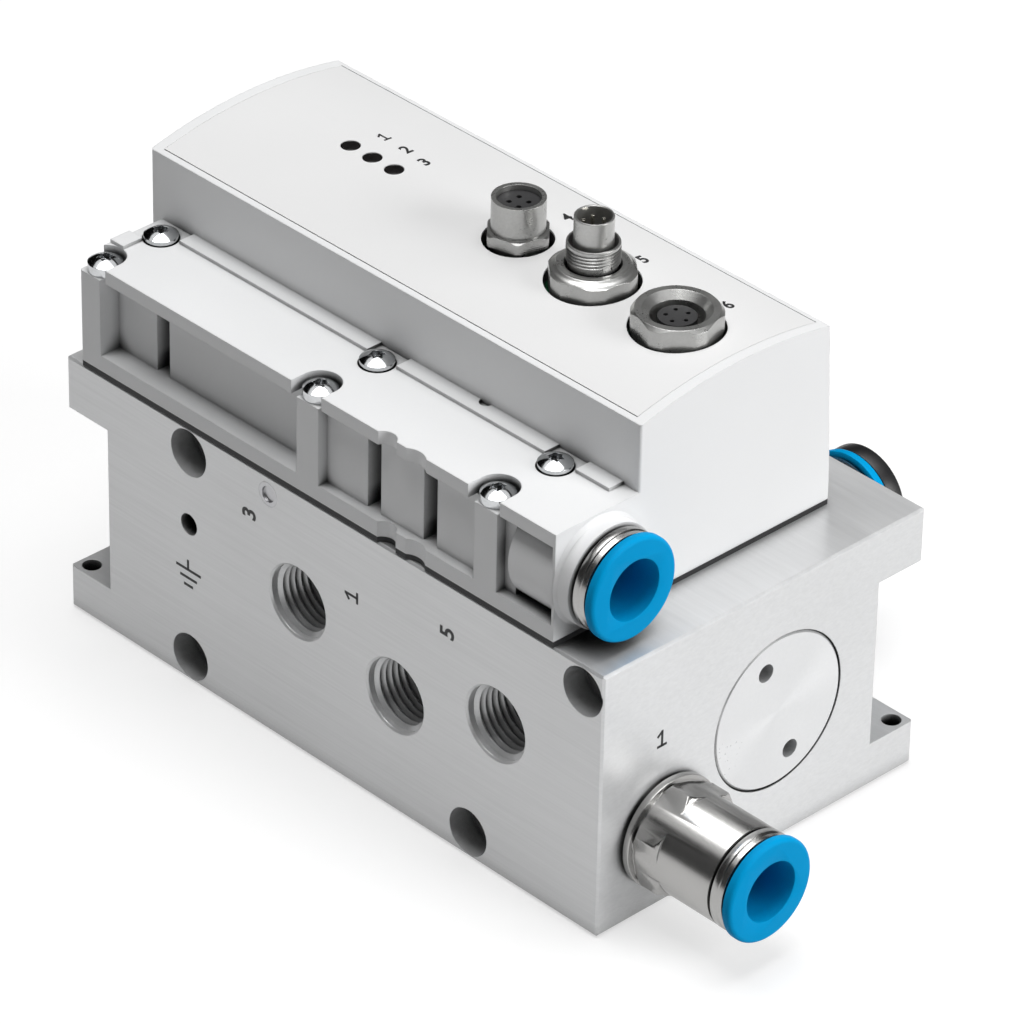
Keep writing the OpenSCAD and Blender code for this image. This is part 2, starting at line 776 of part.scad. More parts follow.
module spring_between(x0, x1) {
    count = spring_turns * spring_steps;
    polyhedron(
        points = [for (i = [0:count]) each wire_ring(i, count, x0, x1)],
        faces = concat(
            [[for (j = [0:wire_sides - 1]) j]],
            [for (i = [0:count - 1]) for (j = [0:wire_sides - 1])
                let (a = i * wire_sides, k = (j + 1) % wire_sides)
                [a + k, a + j, a + wire_sides + j, a + wire_sides + k]],
            [[for (j = [0:wire_sides - 1]) (count + 1) * wire_sides - 1 - j]]));
}

module left_spring() {
    color("lightgray") spring_between(pole_x + pole_len, web_x);
}

module right_spring() {
    color("lightgray") spring_between(spool_right_x, spigot_x);
}

// Circle that cuts a notch of a given width and depth into the front edge
module edge_notch(x, w, d) {
    r = (w * w / 4 + d * d) / (2 * d);
    translate([x, front_y + d - r]) circle(r = r);
}

// Outline of the lip, the plate and the gasket in front of the hood
module shelf_outline() {
    difference() {
        union() {
            area(cover_left_x + corner_r, cover_right_x, front_y, hood_y + over);
            area(cover_left_x, cover_right_x, front_y + corner_r, hood_y + over);
            translate([cover_left_x + corner_r, front_y + corner_r]) circle(r = corner_r);
        }
        edge_notch(notch1_x, notch1_w, notch1_d);
        edge_notch(notch2_x, notch2_w, notch2_d);
    }
}

// Outline of the hood with rounded corners, at its foot
module hood_outline() {
    x0 = hood_left_x + corner_r;
    x1 = cover_right_x - corner_r;
    y0 = hood_y + corner_r;
    y1 = hood_back_y - corner_r;
    area(hood_left_x, cover_right_x, y0, y1);
    area(x0, x1, hood_y, hood_back_y);
    for (x = [x0, x1]) for (y = [y0, y1]) translate([x, y]) circle(r = corner_r);
}

// Panel of the front wall from one place to another, set back behind the lip
module wall_panel(x0, x1, inset) {
    area(x0, x1, front_y + inset, hood_y + over);
}

// The front wall in plan: pillars at the screws, panels and upright grooves
module front_wall() {
    mid_left = mid_screw_x - mid_pillar_w / 2 + pillar_in;
    right_left = right_screw_x - right_pillar_w / 2 + pillar_in;
    intersection() {
        shelf_outline();
        union() {
            wall_panel(cover_left_x, cover_right_x, left_groove_inset);
            wall_panel(cover_left_x, cover_left_x + end_pillar_w, 0);
            wall_panel(cover_left_x, left_groove_x - groove_w / 2, left_inset);
            wall_panel(left_groove_x + groove_w / 2, mid_screw_x, left_inset);
            wall_panel(mid_left, mid_left + mid_pillar_w, 0);
            wall_panel(mid_screw_x, cover_right_x, groove_inset);
            wall_panel(mid_screw_x, groove1_x - groove_w / 2, right_inset);
            wall_panel(groove1_x + groove_w / 2, groove2_x - groove_w / 2, right_inset);
            wall_panel(groove2_x + groove_w / 2, recess_x + recess_w * groove_share, right_inset);
            wall_panel(right_left, recess_x, 0);
            wall_panel(cover_right_x - rib_t, cover_right_x, 0);
        }
    }
}

// Side view of the hood: upright front, leaning back, arched roof
module hood_profile(inset, roof) {
    lean = hood_draft / hood_h;
    top = hood_h + 2 * arch_rise;
    intersection() {
        polygon([[hood_y + inset, base_z - over], [hood_back_y - inset + lean * over, base_z - over],
                 [hood_back_y - inset - lean * top, base_z + top], [hood_y + inset, base_z + top]]);
        translate([arch_y, arch_z]) circle(r = arch_r - roof, $fn = arc_sides);
    }
}

module hood_shell() {
    intersection() {
        along_x(hood_left_x, cover_right_x) hood_profile(0, 0);
        translate([0, 0, base_z]) linear_extrude(hood_h + 2 * arch_rise) hood_outline();
    }
}

// Space under the hood with the posts of the circuit board left standing
module hood_space() {
    difference() {
        along_x(hood_left_x + wall, cover_right_x - wall) hood_profile(wall, roof_t);
        for (x = post_xs) for (y = post_ys) translate([x, y, board_top])
            cylinder(r = post_r, h = hood_h);
    }
}

// Plan of the space under the low part, round the screw columns
module shelf_space() {
    difference() {
        area(cover_left_x + wall, socket_channel_x - socket_channel_r - 2 * wall,
             low_cavity_y, hood_y + 2 * wall);
        for (p = screw_places) translate(p) circle(r = column_r);
        area(mid_screw_x - wall / 2, mid_screw_x + wall / 2, front_screw_y, rear_screw_y);
    }
}

// Strips raised on the plate along the hood and at the left end
module raised_strips() {
    spans = [
        [rear_xs[0] + strip_gap, rear_xs[1] - strip_gap],
        [rear_xs[1] + strip_gap, rear_xs[2] - strip_gap],
        [rear_xs[2] + strip_gap, cover_right_x - strip_gap]];
    translate([0, 0, plate_top - over]) linear_extrude(strip_h + over) difference() {
        union() {
            for (s = spans) area(s[0], s[1], hood_y - strip_w, hood_y + corner_r);
            area(cover_left_x, cover_left_x + strip_w,
                 front_screw_y + screw_notch_r, rear_screw_y - head_r);
        }
        translate([nick_x, hood_y]) circle(r = nick_r);
    }
}

// Notch round a front screw, open to the front
module screw_notch(x) {
    translate([x, front_screw_y, plate_z]) cylinder(r = screw_notch_r, h = plate_t + over);
    span(x - screw_notch_r, x + screw_notch_r, front_y - over, front_screw_y, plate_z, plate_top + over);
}

// Openings for the lights and connectors
module row_holes() {
    z0 = board_top;
    for (x = lens_xs) translate([x, row_line_y, z0]) cylinder(r = lens_r + loose, h = hood_h);
    translate([conn_a_x, row_line_y, z0]) cylinder(r = hole_a_r, h = hood_h);
    for (x = [conn_b_x, conn_c_x]) translate([x, row_line_y, z0]) cylinder(r = hole_bc_r, h = hood_h);
}

// Area of the sheet on the roof, smaller by a gap
module sheet_area(gap, end_gap) {
    span(hood_left_x + sheet_end + end_gap, cover_right_x - sheet_end - end_gap,
         hood_y + sheet_edge + gap, roof_back_y - sheet_edge - gap,
         hood_z - over, roof_z + over);
}

// Layer under the roof's surface
module roof_layer(over_top) {
    along_x(hood_left_x, cover_right_x) difference() {
        translate([arch_y, arch_z]) circle(r = arch_r + over_top, $fn = arc_sides);
        translate([arch_y, arch_z]) circle(r = arch_r - sheet_t, $fn = arc_sides);
        translate([arch_y - 2 * arch_r, arch_z - 2 * arch_r])
            square([4 * arch_r, arch_r * arch_cut]);
    }
}

// Step-shaped bore of a push-in fitting, from the tube stop to the barrel's mouth
module cartridge_cut(mouth) {
    translate([0, 0, tube_stop]) cylinder(r = tube_hole_r, h = mouth - tube_stop + over);
    translate([0, 0, tube_seal_seat]) cylinder(r = tube_seal_r + tube_seal_cord, h = mouth);
    translate([0, 0, grab_seat]) cylinder(r = pocket_r, h = mouth);
}

module cover_housing() {
    color("gainsboro") difference() {
        union() {
            translate([0, 0, base_z]) linear_extrude(lip_h) shelf_outline();
            translate([0, 0, base_z]) linear_extrude(shelf_h - plate_t + over) front_wall();
            translate([0, 0, plate_z]) linear_extrude(plate_t) shelf_outline();
            raised_strips();
            hood_shell();
            on_x(recess_x + rib_t + 2, socket_axis_y, socket_axis_z)
                cylinder(r = ring_r, h = socket_end_x - recess_x - rib_t - 2);
            on_x(cover_right_x, socket_axis_y, socket_axis_z)
                cylinder(r1 = ring_r + socket_flare, r2 = ring_r, h = socket_flare);
        }
        hood_space();
        translate([0, 0, base_z - over]) linear_extrude(shelf_h - plate_t + over) shelf_space();
        for (x = screw_xs) screw_notch(x);
        housing_screw_places() translate([0, 0, base_z - over])
            cylinder(r = screw_hole_r, h = shelf_h + 2 * over);
        for (x = rear_xs) translate([x, rear_screw_y, rear_seat_z])
            cylinder(r = head_r + seat_clear, h = rear_seat_depth + strip_h + over);
        row_holes();
        intersection() {
            roof_layer(over);
            sheet_area(0, 0);
        }
        on_x(socket_seat_x, socket_axis_y, socket_axis_z) {
            cartridge_cut(fit_barrel_top);
            translate([0, 0, tube_stop - channel_cut]) cylinder(r = flow_r, h = channel_cut + 1);
        }
        translate([socket_channel_x, socket_axis_y, base_z - over])
            cylinder(r = socket_channel_r, h = socket_h + over);
    }
}

module roof_sheet() {
    color("whitesmoke") difference() {
        intersection() {
            roof_layer(0);
            sheet_area(sheet_gap, sheet_end_gap);
        }
        row_holes();
    }
}

module cover_gasket() {
    color("black") translate([0, 0, block_h]) linear_extrude(gasket_t) difference() {
        union() {
            shelf_outline();
            hood_outline();
        }
        area(hood_left_x + wall, cover_right_x - wall, hood_y + wall, hood_back_y - wall);
        shelf_space();
        for (p = screw_places) translate(p) circle(r = screw_hole_r);
        translate([socket_channel_x, socket_axis_y]) circle(r = socket_channel_r);
    }
}

// The six screw places of the housing, in plan
module housing_screw_places() {
    for (p = screw_places) translate([p[0], p[1], 0]) children();
}

// Pan head with a domed top, seated at the origin
module pan_head(r, h) {
    dome = r * dome_share;
    rotate_extrude() intersection() {
        square([r, h]);
        translate([0, h - dome]) circle(r = dome);
    }
}

module housing_screws() {
    color("lightgray") for (i = [0:len(screw_places) - 1])
        let (p = screw_places[i], seat = i % 2 == 0 ? front_seat_z : rear_seat_z)
            translate([p[0], p[1], seat]) {
                pan_head(head_r, head_h);
                translate([0, 0, screw_end_z - seat]) cylinder(r = screw_r, h = seat - screw_end_z + over);
            }
}

module light_guides() {
    color("dimgray") for (x = lens_xs) translate([x, row_line_y, board_top])
        cylinder(r = lens_r, h = board_drop - guide_gap);
}

module circuit_board() {
    color("darkgreen") difference() {
        span(board_left_x, board_right_x, board_front_y, board_back_y, board_z, board_top);
        for (x = post_xs) for (y = post_ys) translate([x, y, board_z - over])
            cylinder(r = board_screw_r + 0.1, h = board_t + 2 * over);
    }
}

module board_screws() {
    color("lightgray") for (x = post_xs) for (y = post_ys) translate([x, y, board_z]) rotate([180, 0, 0])
        pan_head(2 * board_screw_r, board_head_h);
    color("lightgray") for (x = post_xs) for (y = post_ys) translate([x, y, board_z - 0.1])
        cylinder(r = board_screw_r, h = board_t + 0.1);
}

// Hexagonal prism given across its flats, cut down to a round size with a chamfered top
module hex_piece(af, round_r, h, chamfer, inward = 0) {
    intersection() {
        cylinder(r = af / 2 / cos(30), h = h, $fn = 6);
        union() {
            cylinder(r = round_r, h = h - chamfer);
            translate([0, 0, h - chamfer]) cylinder(r1 = round_r, r2 = round_r - chamfer - inward,
                h = chamfer);
        }
    }
}

module at_connector(x, z) {
    translate([x, row_line_y, z]) children();
}

module connector_a_shell() {
    color("silver") at_connector(conn_a_x, board_top) difference() {
        union() {
            cylinder(r = conn_r, h = board_drop + conn_a_h);
            translate([0, 0, board_drop - foot_a_sunk]) rotate([0, 0, foot_a_turn])
                hex_piece(conn_a_af, conn_a_af / 2 + foot_a_corner, foot_a_h, foot_a_chamfer);
        }
        translate([0, 0, pot_in]) cylinder(r = conn_r - shell_a_wall, h = board_drop + conn_a_h);
    }
}

module connector_a_insert() {
    color("black") at_connector(conn_a_x, board_top + pot_in) difference() {
        cylinder(r = conn_r - shell_a_wall, h = board_drop + conn_a_h - pot_in - insert_a_drop);
        for (a = four) rotate([0, 0, a])
            translate([insert_a_hole_pcr, 0, board_drop + conn_a_h - insert_a_hole_h - insert_a_hole_top])
                cylinder(r = insert_a_hole_r, h = insert_a_hole_h);
    }
}

module connector_b_shell() {
    inner_r = conn_r - shell_b_in;
    color("silver") at_connector(conn_b_x, board_top) difference() {
        union() {
            cylinder(r = shell_foot_r, h = shoulder_z - board_top);
            cylinder(r = neck_b_r, h = board_drop + conn_b_h);
            translate([0, 0, board_drop + thread_b_foot])
                cylinder(r = conn_r, h = conn_b_h - thread_b_foot);
            cylinder(r = inner_r, h = board_drop + conn_b_tip);
        }
        translate([0, 0, board_drop + conn_b_h - moat_depth]) difference() {
            cylinder(r = inner_r + moat_w, h = moat_depth + over);
            cylinder(r = inner_r, h = moat_depth + over);
        }
        translate([0, 0, pot_in]) cylinder(r = inner_r - shell_b_wall, h = board_drop + conn_b_tip);
    }
}

module connector_b_insert() {
    color("black") at_connector(conn_b_x, board_top + pot_in)
        cylinder(r = insert_b_r, h = board_drop + conn_b_h - pot_in);
}

module connector_b_pins() {
    color("gold") for (a = five) at_connector(conn_b_x, board_top + board_drop + conn_b_h)
        rotate([0, 0, a]) translate([pin_pcr, 0, 0])
            cylinder(r = pin_r, h = conn_b_tip - conn_b_h - pin_drop);
}

module connector_b_nut() {
    color("silver") at_connector(conn_b_x, shoulder_z) difference() {
        rotate([0, 0, nut_turn])
            hex_piece(nut_af, nut_af / 2 + nut_corner, nut_full_h, nut_chamfer, nut_corner);
        translate([0, 0, -over]) cylinder(r = neck_b_r + loose, h = nut_full_h + 2 * over);
        translate([0, 0, nut_full_h - nut_mouth])
            cylinder(r1 = neck_b_r + loose, r2 = nut_mouth_r, h = nut_mouth + over / 2);
    }
}

module connector_c_shell() {
    h = shoulder_z - board_top;
    color("silver") at_connector(conn_c_x, board_top) difference() {
        union() {
            cylinder(r = shell_foot_r, h = h);
            translate([0, 0, h]) rotate([0, 0, shell_c_turn])
                hex_piece(nut_af, nut_af / 2 + shell_c_corner, board_drop + conn_c_h - h, shell_c_chamfer);
        }
        translate([0, 0, board_drop + conn_c_h - shell_c_well])
            cylinder(r = conn_r, h = shell_c_well + over);
        translate([0, 0, board_drop + conn_c_h - shell_c_mouth])
            cylinder(r1 = conn_r, r2 = conn_r + shell_c_mouth + over, h = shell_c_mouth + over);
    }
}

module connector_c_insert() {
    color("black") at_connector(conn_c_x, board_top + board_drop + conn_c_h - shell_c_well) difference() {
        cylinder(r = insert_c_r, h = insert_c_h);
        for (a = five) rotate([0, 0, a])
            translate([insert_c_hole_pcr, 0, 1]) cylinder(r = insert_c_hole_r, h = insert_c_h);
    }
}

// Screwed body of a push-in fitting, its seat at the origin
module fitting_body(short = 0) {
    hex_r = fit_hex_af / 2 + fit_corner;
    hex_foot = face_seal_t + fit_collar_t;
    difference() {
        union() {
            translate([0, 0, -fit_shank]) cylinder(r = thread_r - loose, h = fit_shank + over);
            cylinder(r = fit_barrel_r, h = fit_barrel_top - short);
            translate([0, 0, face_seal_t]) cylinder(r = fit_collar_r, h = fit_collar_t);
            intersection() {
                translate([0, 0, hex_foot - fit_collar_t / 2]) cylinder(r = fit_hex_af / 2 / cos(30),
                    h = fit_hex_top - hex_foot + fit_collar_t / 2, $fn = 6);
                rotate_extrude() polygon([
                    [0, hex_foot - fit_collar_t], [hex_r - fit_chamfer, hex_foot - fit_collar_t],
                    [hex_r - fit_chamfer, hex_foot], [hex_r, hex_foot + fit_chamfer],
                    [hex_r, fit_hex_top - fit_chamfer], [hex_r - fit_chamfer, fit_hex_top],
                    [0, fit_hex_top]]);
            }
        }
        translate([0, 0, -fit_shank - over]) cylinder(r = flow_r, h = fit_shank + fit_barrel_top);
        translate([0, 0, -short]) cartridge_cut(fit_barrel_top);
        difference() {
            translate([0, 0, -over]) cylinder(r = thread_r + face_groove_out, h = face_seal_t + over);
            translate([0, 0, -over])
                cylinder(r = thread_r + face_groove_in, h = face_seal_t + 2 * over);
        }
    }
}

// Flat seal in the groove of the fitting's face
module face_seal() {
    difference() {
        cylinder(r = thread_r + face_seal_out, h = face_seal_t);
        translate([0, 0, -over]) cylinder(r = thread_r + face_seal_in, h = face_seal_t + 2 * over);
    }
}

module tube_seal() {
    translate([0, 0, tube_seal_seat + tube_seal_cord]) rotate_extrude()
        translate([tube_seal_r + loose, 0]) circle(r = tube_seal_cord - loose, $fn = cord_sides);
}

// Toothed steel ring that holds the tube
module grab_ring() {
    translate([0, 0, grab_seat]) difference() {
        cylinder(r = grab_r, h = grab_t);
        translate([0, 0, -over]) cylinder(r = tube_r + 0.1, h = grab_t + 2 * over);
        for (i = [0:teeth - 1]) rotate([0, 0, 360 * i / teeth]) translate([tube_r, -tooth_gap / 2, -over])
            cube([tooth_depth, tooth_gap, grab_t + 2 * over]);
    }
}

// Metal rim pressed into the barrel in front of the grab ring
module rim() {
    foot = grab_seat + grab_t;
    rotate_extrude() polygon([
        [rim_step_r, foot], [rim_spigot_r, foot], [rim_spigot_r, fit_barrel_top + rim_lap],
        [rim_r, fit_barrel_top + rim_lap], [rim_r, rim_top - rim_groove_foot],
        [rim_groove_r, rim_top - rim_groove_h], [rim_groove_r, rim_top], [rim_bore_r, rim_top],
        [rim_bore_r, rim_step_top], [rim_step_r, rim_step_top]]);
}

// Release ring with its neck, its retaining lip and a rounded flange
module release_ring() {
    lip = rim_step_top - lip_gap;
    round_r = ring_t / 2 - loose;
    rotate_extrude() difference() {
        union() {
            area(ring_bore_r, ring_neck_r, lip - ring_neck_h, ring_seat + round_r);
            area(ring_bore_r, ring_lip_r, lip - ring_lip_h, lip);
            area(ring_bore_r, ring_r, ring_seat, ring_top - round_r);
            area(ring_bore_r, ring_r - round_r, ring_seat, ring_top);
            translate([ring_r - round_r, ring_top - round_r]) circle(r = round_r);
        }
        translate([ring_bore_r - over, ring_top]) rotate(45) square(over + ring_bevel, center = true);
    }
}

// Blanking plug pushed into a fitting
module blanking_plug() {
    translate([0, 0, tube_stop]) cylinder(r = tube_r - loose, h = ring_top - tube_stop + over);
    translate([0, 0, ring_top]) cylinder(r = plug_head_r, h = plug_head_t - plug_bevel);
    translate([0, 0, ring_top + plug_head_t - plug_bevel])
        cylinder(r1 = plug_head_r, r2 = plug_head_r - plug_bevel, h = plug_bevel);
}

module at_1() {
    on_x(right_x, end_y, end_port_z) children();
}

module at_2() {
    on_back(port_x[1], work_z) children();
}

module at_4() {
    on_back(port_x[3], work_z) children();
}

// Place of the inner pieces in the shorter fittings at the back
module pushed_in() {
    translate([0, 0, -rear_short]) children();
}

module at_socket() {
    on_x(socket_seat_x, socket_axis_y, socket_axis_z) children();
}

module fitting_1_body() { color("lightgray") at_1() rotate([0, 0, fit_1_turn]) fitting_body(); }
module fitting_1_face_seal() { color("black") at_1() face_seal(); }
module fitting_1_tube_seal() { color("black") at_1() tube_seal(); }
module fitting_1_grab_ring() { color("silver") at_1() grab_ring(); }
module fitting_1_rim() { color("silver") at_1() rim(); }
module fitting_1_release_ring() { color("dodgerblue") at_1() release_ring(); }

module fitting_2_body() { color("lightgray") at_2() fitting_body(rear_short); }
module fitting_2_face_seal() { color("black") at_2() face_seal(); }
module fitting_2_tube_seal() { color("black") at_2() pushed_in() tube_seal(); }
module fitting_2_grab_ring() { color("silver") at_2() pushed_in() grab_ring(); }
module fitting_2_rim() { color("silver") at_2() pushed_in() rim(); }
module fitting_2_release_ring() { color("dodgerblue") at_2() pushed_in() release_ring(); }
module fitting_2_plug() { color("black") at_2() pushed_in() blanking_plug(); }

module fitting_4_body() { color("lightgray") at_4() fitting_body(rear_short); }
module fitting_4_face_seal() { color("black") at_4() face_seal(); }
module fitting_4_tube_seal() { color("black") at_4() pushed_in() tube_seal(); }
module fitting_4_grab_ring() { color("silver") at_4() pushed_in() grab_ring(); }
module fitting_4_rim() { color("silver") at_4() pushed_in() rim(); }
module fitting_4_release_ring() { color("dodgerblue") at_4() pushed_in() release_ring(); }
module fitting_4_plug() { color("black") at_4() pushed_in() blanking_plug(); }

module socket_tube_seal() { color("black") at_socket() tube_seal(); }
module socket_grab_ring() { color("silver") at_socket() grab_ring(); }
module socket_rim() { color("silver") at_socket() rim(); }
module socket_release_ring() { color("dodgerblue") at_socket() release_ring(); }

block();
channel_plug();
end_cover();
end_cover_seal();
valve_sleeve();
sleeve_seals();
spool();
coil_former();
coil_winding();
magnet_pot();
magnet();
pole_disc();
left_spring();
right_spring();
cover_gasket();
cover_housing();
roof_sheet();
housing_screws();
light_guides();
circuit_board();
board_screws();
connector_a_shell();
connector_a_insert();
connector_b_shell();
connector_b_nut();
connector_b_insert();
connector_b_pins();
connector_c_shell();
connector_c_insert();
fitting_1_body();
fitting_1_face_seal();
fitting_1_tube_seal();
fitting_1_grab_ring();
fitting_1_rim();
fitting_1_release_ring();
fitting_2_body();
fitting_2_face_seal();
fitting_2_tube_seal();
fitting_2_grab_ring();
fitting_2_rim();
fitting_2_release_ring();
fitting_2_plug();
fitting_4_body();
fitting_4_face_seal();
fitting_4_tube_seal();
fitting_4_grab_ring();
fitting_4_rim();
fitting_4_release_ring();
fitting_4_plug();
socket_tube_seal();
socket_grab_ring();
socket_rim();
socket_release_ring();
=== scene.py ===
"""Looks of a proportional directional control valve: an aluminium block with a moulded cover."""

import json
import math

import bpy
from mathutils import Matrix, Vector


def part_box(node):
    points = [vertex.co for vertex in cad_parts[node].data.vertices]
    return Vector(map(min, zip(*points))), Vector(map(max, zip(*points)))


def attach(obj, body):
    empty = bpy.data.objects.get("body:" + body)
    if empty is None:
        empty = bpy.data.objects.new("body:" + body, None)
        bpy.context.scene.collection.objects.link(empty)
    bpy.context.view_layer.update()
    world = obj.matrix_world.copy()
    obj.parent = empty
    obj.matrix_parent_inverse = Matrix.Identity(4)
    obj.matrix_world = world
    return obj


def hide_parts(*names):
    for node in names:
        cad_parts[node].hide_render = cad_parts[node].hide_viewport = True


bl_info = {
    "name": "Proportional control valve",
    "version": (1, 0, 0),
    "blender": (4, 5, 0),
    "location": "View3D > Sidebar > Valve",
    "description": "Dresses the packed valve with rounded edges, threads, screws, marks and finishes",
    "category": "Object",
}

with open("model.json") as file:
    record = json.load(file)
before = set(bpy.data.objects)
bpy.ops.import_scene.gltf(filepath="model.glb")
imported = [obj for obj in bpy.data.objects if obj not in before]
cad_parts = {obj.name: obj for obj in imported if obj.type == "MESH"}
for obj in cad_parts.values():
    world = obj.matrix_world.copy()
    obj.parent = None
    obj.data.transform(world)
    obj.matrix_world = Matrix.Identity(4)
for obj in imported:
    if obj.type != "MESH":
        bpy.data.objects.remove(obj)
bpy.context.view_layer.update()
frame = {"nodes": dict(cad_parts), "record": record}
MM = 0.001
UP = Vector((0, 0, 1))
FRONT = Vector((0, -1, 0))
BACK = Vector((0, 1, 0))
RIGHT = Vector((1, 0, 0))
MERGE = 0.002 * MM    # vertices nearer than this are one
POLE = 0.001 * MM     # radius that stands for the axis in a turned profile
FLAT_ANGLE = 0.3      # faces that meet flatter than this are one, in degrees
SHARP_ANGLE = 32      # edges sharper than this are rounded, in degrees
SMOOTH_ANGLE = 30     # edges flatter than this are shaded smooth, in degrees
WAVE_SCALE = 0.314    # a wave texture of this scale has one line in a metre
LIFT = 0.05           # how far a printed mark stands off its face, in mm
FINISHES = {}         # every finish by its name, filled by main


class ValveSettings(bpy.types.PropertyGroup):
    """Sizes and colours of the valve's looks."""

    housing_colour: bpy.props.FloatVectorProperty(
        name="Cover plastic", description="Colour of the moulded cover",
        subtype="COLOR", size=3, min=0, max=1, default=(0.805, 0.81, 0.815))
    sheet_colour: bpy.props.FloatVectorProperty(
        name="Roof sheet", description="Colour of the printed sheet on the roof",
        subtype="COLOR", size=3, min=0, max=1, default=(0.785, 0.785, 0.785))
    aluminium_colour: bpy.props.FloatVectorProperty(
        name="Aluminium", description="Colour of the milled block",
        subtype="COLOR", size=3, min=0, max=1, default=(0.705, 0.71, 0.715))
    ring_colour: bpy.props.FloatVectorProperty(
        name="Release rings", description="Colour of the push-in release rings",
        subtype="COLOR", size=3, min=0, max=1, default=(0.0003, 0.305, 0.63))
    nickel_colour: bpy.props.FloatVectorProperty(
        name="Nickel", description="Colour of the plated fittings",
        subtype="COLOR", size=3, min=0, max=1, default=(0.39, 0.386, 0.378))
    connector_colour: bpy.props.FloatVectorProperty(
        name="Connector metal", description="Colour of the round connectors and their nuts",
        subtype="COLOR", size=3, min=0, max=1, default=(0.47, 0.47, 0.46))
    housing_edge: bpy.props.FloatProperty(
        name="Cover edge radius", description="Rounding of the cover's moulded edges",
        unit="LENGTH", subtype="DISTANCE", min=0, default=0.3 * MM)
    block_edge: bpy.props.FloatProperty(
        name="Block edge radius", description="Rounding of the block's deburred edges",
        unit="LENGTH", subtype="DISTANCE", min=0, default=0.2 * MM)
    metal_edge: bpy.props.FloatProperty(
        name="Metal edge radius", description="Rounding of the edges of small turned pieces",
        unit="LENGTH", subtype="DISTANCE", min=0, default=0.12 * MM)
    port_pitch: bpy.props.FloatProperty(
        name="Port thread pitch", description="Pitch of the thread in the ports",
        unit="LENGTH", subtype="DISTANCE", min=0.5 * MM, default=1.337 * MM)
    connector_pitch: bpy.props.FloatProperty(
        name="Connector thread pitch", description="Pitch of the thread on the round connectors",
        unit="LENGTH", subtype="DISTANCE", min=0.3 * MM, default=0.6 * MM)
    mark_height: bpy.props.FloatProperty(
        name="Port number height", description="Height of the numbers beside the ports",
        unit="LENGTH", subtype="DISTANCE", min=1 * MM, default=3.2 * MM)


def settings():
    """The scene's valve settings."""
    return bpy.context.scene.valve_settings


# Handling of pieces

def only(*pieces):
    """Selects these pieces alone."""
    if bpy.context.object and bpy.context.object.mode != "OBJECT":
        bpy.ops.object.mode_set(mode="OBJECT")
    bpy.ops.object.select_all(action="DESELECT")
    for piece in pieces:
        piece.select_set(True)
    if pieces:
        bpy.context.view_layer.objects.active = pieces[0]


def edit_all(piece):
    """Opens a piece for editing with everything selected."""
    only(piece)
    bpy.ops.object.mode_set(mode="EDIT")
    bpy.ops.mesh.select_mode(type="VERT")
    bpy.ops.mesh.select_all(action="SELECT")


def close_up(piece):
    """Merges doubles and turns the faces of a new closed piece outwards."""
    edit_all(piece)
    bpy.ops.mesh.remove_doubles(threshold=MERGE)
    bpy.ops.mesh.normals_make_consistent(inside=False)
    bpy.ops.object.mode_set(mode="OBJECT")


def applied(piece, kind, **values):
    """Adds a modifier with these values and applies it."""
    only(piece)
    bpy.ops.object.modifier_add(type=kind)
    modifier = piece.modifiers[-1]
    for name, value in values.items():
        setattr(modifier, name, value)
    bpy.ops.object.modifier_apply(modifier=modifier.name)


def rounded(piece, radius):
    """Rounds the sharp edges of a piece."""
    if radius > 0:
        applied(piece, "BEVEL", width=radius, segments=2, limit_method="ANGLE",
                angle_limit=math.radians(SHARP_ANGLE), use_clamp_overlap=False)


def smooth(piece, angle=SMOOTH_ANGLE):
    """Smooth shading up to this angle."""
    only(piece)
    bpy.ops.object.shade_smooth_by_angle(angle=math.radians(angle))


def pick(piece, test):
    """Selects, in edit mode, only the vertices whose place in mm passes the test."""
    only(piece)
    bpy.ops.object.mode_set(mode="EDIT")
    bpy.ops.mesh.select_mode(type="VERT")
    bpy.ops.mesh.select_all(action="DESELECT")
    bpy.ops.object.mode_set(mode="OBJECT")
    for vertex in piece.data.vertices:
        vertex.select = test(vertex.co / MM)
    bpy.ops.object.mode_set(mode="EDIT")


def extent(piece):
    """Lowest and highest corner of a piece's mesh, in mm."""
    places = [vertex.co / MM for vertex in piece.data.vertices]
    return [[ending(co[i] for co in places) for i in range(3)] for ending in (min, max)]


def put(piece, place, axis=UP, turn=0.0):
    """Moves the mesh of a piece made along Z to a place in mm, pointing along an axis."""
    only(piece)
    tilt = UP.rotation_difference(axis).to_matrix().to_4x4()
    spot = Matrix.Translation(Vector(place) * MM)
    piece.matrix_world = spot @ tilt @ Matrix.Rotation(math.radians(turn), 4, "Z")
    bpy.ops.object.transform_apply(location=True, rotation=True, scale=True)


def hand_over(piece, body, slot_name, finish, *nodes):
    """Gives a piece its body and finish, and hides the CAD nodes that it stands for."""
    piece.data.materials.clear()
    piece.data.materials.append(finish)
    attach(piece, body)
    if nodes:
        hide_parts(*nodes)


def dressed(node, name, radius=0.0):
    """A merged copy of a CAD node, shaded smooth, its edges rounded where a radius is given."""
    piece = bpy.data.objects.new(name, frame["nodes"][node].data.copy())
    bpy.context.scene.collection.objects.link(piece)
    only(piece)
    bpy.ops.mesh.customdata_custom_splitnormals_clear()
    edit_all(piece)
    bpy.ops.mesh.remove_doubles(threshold=MERGE)
    if radius > 0:
        bpy.ops.mesh.dissolve_limited(angle_limit=math.radians(FLAT_ANGLE))
    bpy.ops.object.mode_set(mode="OBJECT")
    rounded(piece, radius)
    smooth(piece)
    return piece


